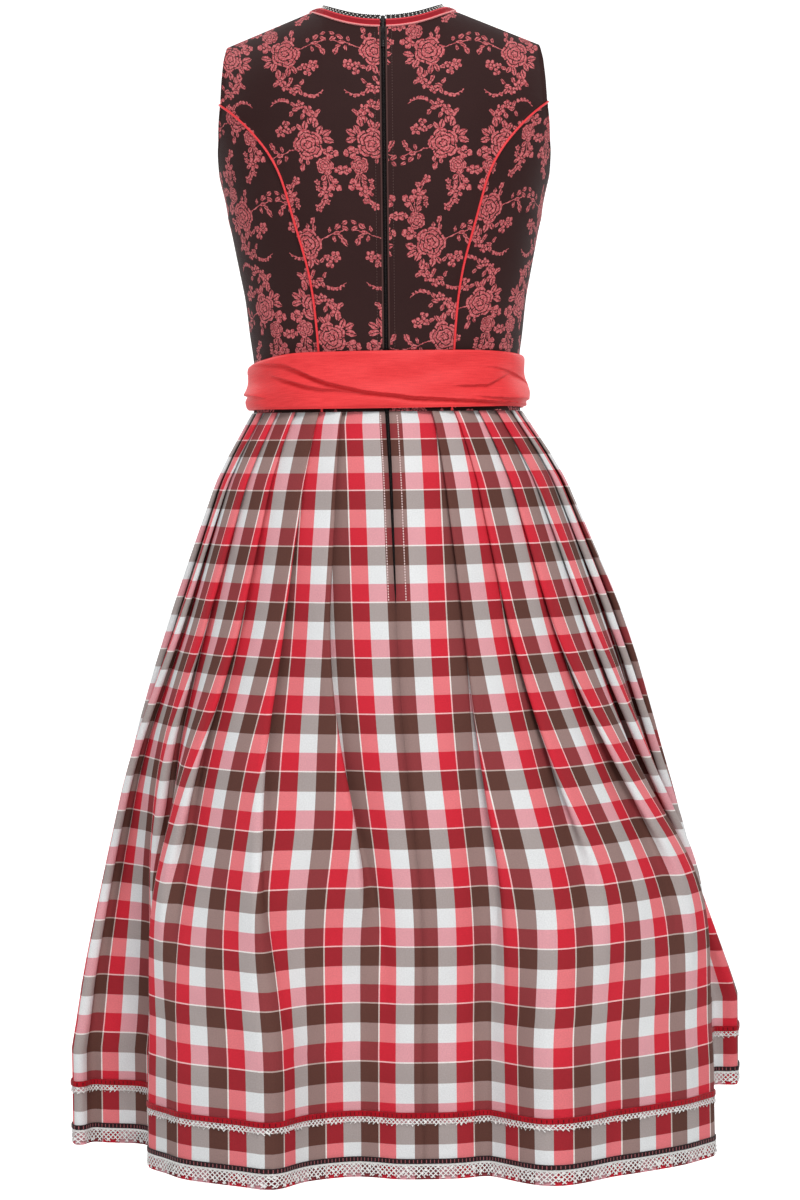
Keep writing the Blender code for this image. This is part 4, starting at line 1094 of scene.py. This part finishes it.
turn = np.broadcast_to(np.linspace(SASH_START, SASH_END, SASH_COLUMNS), (SASH_ROWS, SASH_COLUMNS))
share = np.broadcast_to(np.linspace(0, 1, SASH_ROWS)[:, None], turn.shape)
upper, lower = (
    sum(np.interp(turn + a, SASH_EDGES[:, 0], SASH_EDGES[:, k]) for a in np.linspace(-0.2, 0.2, 11)) / 11
    for k in (1, 2))
z = upper * (1 - share) + lower * share
rise = sash_rise(turn, z, share)
inner, outer = waist_wall(turn, z, rise), waist_wall(turn, z, rise + SASH_THICK)
sash = closed_shell("sash_wrap", outer, inner, lengths(inner[SASH_ROWS // 2]), upper - z, sash_satin())
wear(sash, "sash")


# Piping on the four princess seams: a cord in red satin bias tape, its thread wound slantwise under the
# cloth. The flat of the tape is caught in the seam.
PIPING_RADIUS = 0.00105


def cord(name, line, normals, radius, material, sides=12):
    """Round cord with closed ends; its UV map is the length along it and the turn round it."""
    along = np.gradient(line, axis=0)
    along /= np.linalg.norm(along, axis=1, keepdims=True)
    out = normals - along * np.einsum("ij,ij->i", normals, along)[:, None]
    out /= np.linalg.norm(out, axis=1, keepdims=True)
    other = np.cross(along, out)
    turn = np.arange(sides) * 2 * math.pi / sides
    ring = out[:, None] * np.cos(turn)[:, None] + other[:, None] * np.sin(turn)[:, None]
    points = (line[:, None] + radius * ring).reshape(-1, 3)
    run = lengths(line)
    faces = [(i + j, i + (j + 1) % sides, i + sides + (j + 1) % sides, i + sides + j)
             for i in range(0, len(points) - sides, sides) for j in range(sides)]
    faces += [tuple(range(sides))[::-1], tuple(range(len(points) - sides, len(points)))]
    first = points[list(faces[0])]
    if np.dot(np.cross(first[1] - first[0], first[2] - first[0]), ring[0, 0]) < 0:
        faces = [face[::-1] for face in faces]
    piece = mesh_piece(name, points.tolist(), faces, material, [len(face) == 4 for face in faces])
    mesh = piece.data
    layer = mesh.uv_layers.new(name="cloth")
    for face in mesh.polygons:
        last_strip = {k % sides for k in face.vertices} == {0, sides - 1} and len(face.vertices) == 4
        for loop in face.loop_indices:
            i, j = divmod(mesh.loops[loop].vertex_index, sides)
            if last_strip and j == 0:
                j = sides
            layer.data[loop].uv = (run[i], (j / sides) * 2 * math.pi * radius)
    return piece


def piping_satin():
    """Bias-cut satin over a twisted cord."""
    material, shader, across, down, flat = cloth_material("piping_satin")
    twist = (across + down * 1.0).between(0.0011).soft(0.15, 0.5)
    fibre = flat.noise(1200.0)
    set_sockets(shader, {
        "Base Color": (fibre * 0.4 + 0.82 - twist * 0.12).tint(linear(226, 44, 52)),
        "Roughness": fibre * 0.2 + 0.34, "Normal": (fibre * 0.3 - twist).bump(0.35, 0.0002)})
    return material


piping = piping_satin()
for seam, front, word in ((PRINCESS_BACK, False, "back"), (PRINCESS_FRONT, True, "front")):
    line = smooth_line(seam, 110)
    points, normals = torso(line[:, 0], line[:, 1], front)
    points = points + normals * (PIPING_RADIUS + 0.0002)
    points[-1] += normals[-1] * -0.0006
    for side, name in SIDES:
        mirror = np.array([side, 1, 1])
        piece = cord(f"piping_{word}_{name}_cord", points * mirror, normals * mirror, PIPING_RADIUS, piping)
        wear(piece, f"piping_{word}_{name}")


# Neckline: a red velvet ribbon with satin edges on the cloth, and a black crochet edging that stands above
# it, beaded in white. Both run from the left of the zip over the shoulders and the front to its right.
# Profiles down the bands: shift down the cloth from the neckline, distance off the cloth.
RIBBON_SHIFTS = (-0.0003, 0.0006, 0.0016, 0.0038, 0.0058, 0.0066, 0.0073)
RIBBON_LIFTS = (0.0007, 0.0010, 0.0008, 0.0011, 0.0008, 0.0009, 0.0005)
EDGING_SHIFTS = (-0.0062, -0.0042, -0.0022, -0.0004)
EDGING_LIFTS = (-0.0008, -0.0008, -0.0006, -0.0003)
NECK_RIBBON_THICK, EDGING_THICK = 0.0007, 0.0009
PICOT_SHIFT, PICOT_STEP, PICOT_SIZE = -0.0058, 0.0021, (0.0019, 0.0024, 0.0016)
BEAD_STEP, BEAD_SIZE, BEAD_LIFT = 0.0042, (0.0013, 0.0012, 0.0012), 0.0003


def sewn_tree(name, material):
    """Geometry Nodes that set equal bodies along a line, their x along it and their z out of the cloth."""
    group = bpy.data.node_groups.new(name + "_nodes", "GeometryNodeTree")
    for socket, kind in (("Geometry", "Geometry"), ("Spacing", "Float"), ("Size", "Vector")):
        group.interface.new_socket(socket, in_out="INPUT", socket_type="NodeSocket" + kind)
    group.interface.new_socket("Geometry", in_out="OUTPUT", socket_type="NodeSocketGeometry")

    def node(kind, links, **settings):
        """New node, its settings, and its inputs linked from the given outputs of other nodes."""
        made = group.nodes.new(kind)
        for key, value in settings.items():
            setattr(made, key, value)
        for socket, (source, output) in links.items():
            group.links.new(source.outputs[output], made.inputs[socket])
        return made

    source = node("NodeGroupInput", {})
    curve = node("GeometryNodeMeshToCurve", {0: (source, "Geometry")})
    even = node("GeometryNodeResampleCurve", {"Curve": (curve, 0), "Length": (source, "Spacing")},
                mode="LENGTH")
    tangent = node("GeometryNodeInputTangent", {})
    out = node("GeometryNodeInputNamedAttribute", {}, data_type="FLOAT_VECTOR")
    out.inputs["Name"].default_value = "out"
    along = node("FunctionNodeAlignRotationToVector", {"Vector": (tangent, 0)}, axis="X")
    facing = node("FunctionNodeAlignRotationToVector", {"Rotation": (along, 0), "Vector": (out, "Attribute")},
                  axis="Z", pivot_axis="X")
    body = node("GeometryNodeMeshIcoSphere", {})
    body.inputs["Radius"].default_value = 1.0
    body.inputs["Subdivisions"].default_value = 2
    copies = node("GeometryNodeInstanceOnPoints", {"Points": (even, 0), "Instance": (body, "Mesh"),
                                                   "Rotation": (facing, 0), "Scale": (source, "Size")})
    real = node("GeometryNodeRealizeInstances", {0: (copies, 0)})
    paint = node("GeometryNodeSetMaterial", {"Geometry": (real, 0)})
    paint.inputs["Material"].default_value = material
    node("NodeGroupOutput", {0: (paint, 0)})
    return group


def sewn_along(name, points, normals, spacing, size, material):
    """Small equal bodies set along a line, such as stitches or beads; size is along, across, out."""
    mesh = bpy.data.meshes.new(name)
    mesh.from_pydata(points.tolist(), [(k, k + 1) for k in range(len(points) - 1)], [])
    out = mesh.attributes.new("out", "FLOAT_VECTOR", "POINT")
    out.data.foreach_set("vector", normals.astype(np.float32).ravel())
    line = placed(name, mesh)
    modifier = line.modifiers.new("sewn", "NODES")
    modifier.node_group = sewn_tree(name, material)
    values = {"Spacing": spacing, "Size": [k / 2 for k in size]}
    for item in modifier.node_group.interface.items_tree:
        if item.in_out == "INPUT" and item.name in values:
            modifier[item.identifier] = values[item.name]
    done = bpy.data.meshes.new_from_object(line.evaluated_get(bpy.context.evaluated_depsgraph_get()))
    bpy.data.objects.remove(line)
    done.name = name
    done.materials.clear()
    done.materials.append(material)
    done.polygons.foreach_set("use_smooth", np.full(len(done.polygons), True))
    return wear(placed(name, done))


def plain_thread(name, colour, roughness=0.6):
    """Twisted sewing thread."""
    material, shader = new_material(name)
    place = Field(material.node_tree).node("ShaderNodeTexCoord", {}, {}, "Object")
    shade = place.noise(1800.0, 1.0, "3D") * 0.5 + 0.72
    set_sockets(shader, {"Base Color": shade.tint(linear(*colour)), "Roughness": roughness,
                         "Specular IOR Level": 0.25})
    return material


def neck_line(shift):
    """The whole neckline, moved down the cloth by shift, with the normals of the cloth."""
    shoulder_length = np.hypot(1, SHOULDER_SLOPE)

    def moved(line, front):
        along = np.gradient(line, axis=0)
        along /= np.linalg.norm(along, axis=1, keepdims=True)
        low = np.stack([along[:, 1], -along[:, 0]], -1)
        low[0] = (0, -1)
        low[-1] = (1, -SHOULDER_SLOPE) / shoulder_length
        at = line + shift * low
        return torso(at[:, 0], at[:, 1], front)

    back = neck_back.copy()
    back[0, 0] = SLIT + 0.0006
    points_back, normals_back = moved(back, False)
    points_front, normals_front = moved(neck_front, True)
    normals_back[-1] = normals_front[-1] = np.array((SHOULDER_SLOPE, 0, 1)) / shoulder_length
    points_back[-1, 1] = 0
    half = np.concatenate([points_back, points_front[-2::-1]])
    half_normals = np.concatenate([normals_back, normals_front[-2::-1]])
    half_normals[-1, 0] = 0
    return (np.concatenate([line, (line * (-1, 1, 1))[-2::-1]]) for line in (half, half_normals))


def neck_band(node, shifts, lifts, thick, material, edge=None):
    """Strip along the neckline through lines at some shifts down the cloth, at some lifts off it."""
    walls, normals = zip(*(neck_line(shift) for shift in shifts))
    run = lengths(walls[-1])
    even = np.linspace(0, run[-1], 1200)
    walls, normals = (np.stack([at_lengths(even, run, line) for line in lines]) for lines in (walls, normals))
    if edge is not None:
        walls[0] = walls[1] + (walls[0] - walls[1]) * edge(even)[:, None]
    lifts = np.array(lifts)[:, None, None]
    depth = np.array(shifts)[:, None] - shifts[0]
    outer, inner = walls + normals * (lifts + thick), walls + normals * lifts
    wear(closed_shell(node + "_band", outer, inner, even, depth, material), node)


def neck_velvet():
    """Velvet ribbon: deep red pile in the middle between ribbed satin edges, the lower one pale."""
    material, shader, across, down, flat = cloth_material("neck_velvet")
    pile = flat.noise(1500.0)
    middle = 1 - abs(down - 0.0038).soft(0.0020, 0.0027)
    rib = across.between(0.0007).soft(0.1, 0.5)
    colour = middle.blend(linear(218, 54, 66), linear(146, 4, 24))
    colour = down.soft(0.0066, 0.0069).blend(colour, linear(236, 150, 150))
    set_sockets(shader, {
        "Base Color": (pile * 0.5 + 0.78 - rib * 0.10).tint(colour), "Roughness": middle * 0.25 + 0.45,
        "Normal": (pile + middle - rib * 0.4).bump(0.4, 0.0003), "Specular IOR Level": 0.25})
    return material


def neck_crochet():
    """Black crochet cotton in small round loops."""
    material, shader, across, down, flat = cloth_material("neck_crochet")
    loop_x, loop_y = ((place / 0.0021).wrapped(1.0) - 0.5 for place in (across, down))
    yarn = (loop_x * loop_x + loop_y * loop_y).soft(0.02, 0.10)
    fibre = flat.noise(1400.0)
    set_sockets(shader, {
        "Base Color": fibre.blend(linear(10, 7, 8), linear(30, 22, 23)), "Roughness": 0.75,
        "Alpha": yarn * 0.10 + 0.90, "Normal": (yarn + fibre * 0.3).bump(0.6, 0.0005)})
    return material


def picot_points(run):
    """Upper edge of the crochet: a round point between two beads."""
    return 0.70 + 0.30 * np.abs(np.sin(math.pi * run / BEAD_STEP))


neck_band("neck_ribbon", RIBBON_SHIFTS, RIBBON_LIFTS, NECK_RIBBON_THICK, neck_velvet())
neck_band("neck_edging", EDGING_SHIFTS, EDGING_LIFTS, EDGING_THICK, neck_crochet(), picot_points)
white_bead = plain_thread("white_bead_thread", (242, 236, 232), 0.45)
for name, shift, start in (("neck_beads_upper", -0.0043, 0.0), ("neck_beads_lower", -0.0022, BEAD_STEP / 2)):
    points, normals = neck_line(shift)
    run = lengths(points)
    even = np.linspace(start, run[-1] - 0.0005, 900)
    points, normals = (at_lengths(even, run, line) for line in (points, normals))
    sewn_along(name, points + normals * BEAD_LIFT, normals, BEAD_STEP, BEAD_SIZE, white_bead)
black_yarn = plain_thread("black_picot_yarn", (20, 14, 15), 0.85)
points, normals = neck_line(PICOT_SHIFT)
sewn_along("neck_picots", points, normals, PICOT_STEP, PICOT_SIZE, black_yarn)


# Zip: black woven tape behind both edges of the slit, its coil of small teeth in the middle, and the
# drop-shaped slider at the top with its pull hanging down. It stays closed; the slider is where it locks.
ZIP_TOP = NECK_BACK_Z + 0.0045
ZIP_END = -0.5380
TAPE_HALF, TAPE_THICK, TAPE_DEPTH = 0.0062, 0.0006, 0.0018
COIL_STEP, COIL_SIZE, COIL_DEPTH = 0.0013, (0.0008, 0.0026, 0.0010), 0.0013
TAPE_END_STEP, TAPE_END_SIZE = 0.0030, (0.0038, 0.0044, 0.0024)
BODICE_ROWS, SKIRT_ROWS = 60, 30  # of the tape's line
SLIDER_SIDES, SLIDER_RINGS = 24, 44
# Outline of the slider and its pull, columns: height, half-width, thickness, distance out of the cloth.
SLIDER = np.array([
    (-0.0232, 0.0006, 0.0008, 0.0002), (-0.0238, 0.0016, 0.0020, 0.0002), (-0.0255, 0.0022, 0.0026, 0.0002),
    (-0.0280, 0.0021, 0.0026, 0.0002), (-0.0300, 0.0014, 0.0020, 0.0004), (-0.0310, 0.0009, 0.0012, 0.0008),
    (-0.0322, 0.0015, 0.0012, 0.0008), (-0.0342, 0.0024, 0.0013, 0.0006), (-0.0362, 0.0025, 0.0013, 0.0005),
    (-0.0378, 0.0018, 0.0012, 0.0004), (-0.0384, 0.0006, 0.0008, 0.0004),
])


def zip_tape_weave():
    """Black polyester tape, ribbed across."""
    material, shader, _, down, flat = cloth_material("zip_tape_weave")
    rib = down.between(0.0008).soft(0.1, 0.5)
    fibre = flat.noise(1200.0)
    colour = (fibre * 0.7 + rib * 0.3).blend(linear(12, 9, 10), linear(34, 27, 28))
    set_sockets(shader, {"Base Color": colour, "Roughness": 0.8, "Specular IOR Level": 0.15,
                         "Normal": (fibre * 0.5 - rib).bump(0.4, 0.0002)})
    return material


def zip_enamel():
    """Black enamel on metal, a little worn."""
    material, shader = new_material("zip_enamel")
    place = Field(material.node_tree).node("ShaderNodeTexCoord", {}, {}, "Object")
    wear_mark = place.noise(600.0, 3.0, "3D")
    colour = wear_mark.soft(0.55, 0.75).blend(linear(20, 17, 18), linear(66, 60, 60))
    set_sockets(shader, {"Base Color": colour, "Roughness": wear_mark * 0.3 + 0.22, "Metallic": 0.6})
    return material


z_bodice = np.linspace(ZIP_TOP, WAIST_Z, BODICE_ROWS)
z_skirt = np.linspace(WAIST_Z - 0.0005, ZIP_END, SKIRT_ROWS)
z_line = np.concatenate([z_bodice, z_skirt])
points, normals = torso(np.full(BODICE_ROWS, SLIT), z_bodice, False)
drop = (row_z[0] - z_skirt) / (row_z[0] - HEM_Z)
skirt_x, skirt_y = (np.interp(drop, rows, half_xy[1][:, 0, k]) for k in (0, 1))
face = np.r_[np.c_[np.zeros(BODICE_ROWS), points[:, 1:]], np.c_[skirt_x, skirt_y, z_skirt]]
inward = np.r_[-normals, np.tile((0.0, -1.0, 0.0), (SKIRT_ROWS, 1))]
inward[:, 0] = 0
inward /= np.linalg.norm(inward, axis=1, keepdims=True)
cross = np.linspace(-TAPE_HALF, TAPE_HALF, 7)
wall = face[:, None] + inward[:, None] * TAPE_DEPTH + np.stack([cross, cross * 0, cross * 0], -1)
tape = closed_shell("zip_tape_strip", wall, wall + inward[:, None] * TAPE_THICK, cross,
                    lengths(face)[:, None], zip_tape_weave())
wear(tape, "zip_tape")
coil = plain_thread("zip_coil_nylon", (24, 20, 21), 0.35)
sewn_along("zip_coil", face + inward * COIL_DEPTH, -inward, COIL_STEP, COIL_SIZE, coil)
sewn_along("zip_tape_ends", (face + inward * 0.0002)[:6], -inward[:6], TAPE_END_STEP, TAPE_END_SIZE, coil)

z_fine = np.linspace(SLIDER[0, 0], SLIDER[-1, 0], SLIDER_RINGS)
wide, deep, out = (np.interp(z_fine, SLIDER[::-1, 0], SLIDER[::-1, k])[:, None] for k in (1, 2, 3))
y_face = np.interp(z_fine, z_line[::-1], face[::-1, 1])[:, None]
turn = np.linspace(0, 2 * math.pi, SLIDER_SIDES + 1)[:-1]
ring = np.stack([wide * np.cos(turn), y_face + out + deep * (0.35 + 0.5 * np.sin(turn)),
                 np.broadcast_to(z_fine[:, None], (SLIDER_RINGS, SLIDER_SIDES))], -1)
faces = [(i + j, i + SLIDER_SIDES + j, i + SLIDER_SIDES + (j + 1) % SLIDER_SIDES, i + (j + 1) % SLIDER_SIDES)
         for i in range(0, (SLIDER_RINGS - 1) * SLIDER_SIDES, SLIDER_SIDES) for j in range(SLIDER_SIDES)]
last = (SLIDER_RINGS - 1) * SLIDER_SIDES
faces += [tuple(range(SLIDER_SIDES)), tuple(range(last, last + SLIDER_SIDES))[::-1]]
slider = mesh_piece("zip_slider_body", ring.reshape(-1, 3).tolist(), faces, zip_enamel())
wear(slider, "zip_slider")


# Topstitching, set along lines on the cloth: two pale rows that hold the zip in the skirt, and a dark one on
# each side of it in the bodice, where both edges are turned in to a soft fold.
STITCH_STEP = 0.0026
SKIRT_STITCH, BODICE_STITCH = (0.0018, 0.0011, 0.0009), (0.0017, 0.0005, 0.0005)
SKIRT_ROW_S = {1: 0.0062, -1: 0.0092}  # cloth positions of the rows in the skirt
BODICE_ROW_X = 0.0078
FOLD_RADIUS = 0.0008
ROW_END = -0.318
pale = plain_thread("pale_thread", (236, 212, 212))
dark = plain_thread("dark_thread", (92, 70, 68))
plain_brown = plain_thread("turned_edge", (74, 48, 46), 0.7)
v_stitch = np.linspace(0.006, 0.255, 60)
for side, name in SIDES:
    across_line, deep_line = (
        np.interp(v_stitch, rows, [np.interp(SKIRT_ROW_S[side], s, xy[:, k])
                                   for s, xy in zip(half_s[side], half_xy[side])])
        for k in (0, 1))
    points = np.stack([across_line, deep_line + 0.0005, np.interp(v_stitch, rows, row_z)], -1)
    sewn_along(f"zip_stitches_skirt_{name}", points, np.tile((0.0, 1.0, 0.0), (60, 1)), STITCH_STEP,
               SKIRT_STITCH, pale)
    mirror = np.array([side, 1, 1])
    z = np.linspace(-0.0235, ROW_END, 120)
    lip, normals = torso(np.full(120, SLIT + 0.0005), z, False)
    lip = lip + normals * 0.0001
    wear(cord(f"zip_fold_{name}", lip * mirror, normals * mirror, FOLD_RADIUS, plain_brown))
    z = np.linspace(-0.030, ROW_END, 80)
    points, normals = torso(np.full(80, BODICE_ROW_X), z, False)
    rise = drag_lines(points[:, 0], z, False)[:, None]
    sewn_along(f"zip_stitches_bodice_{name}", (points + normals * (rise + 0.0002)) * mirror, normals * mirror,
               STITCH_STEP, BODICE_STITCH, dark)
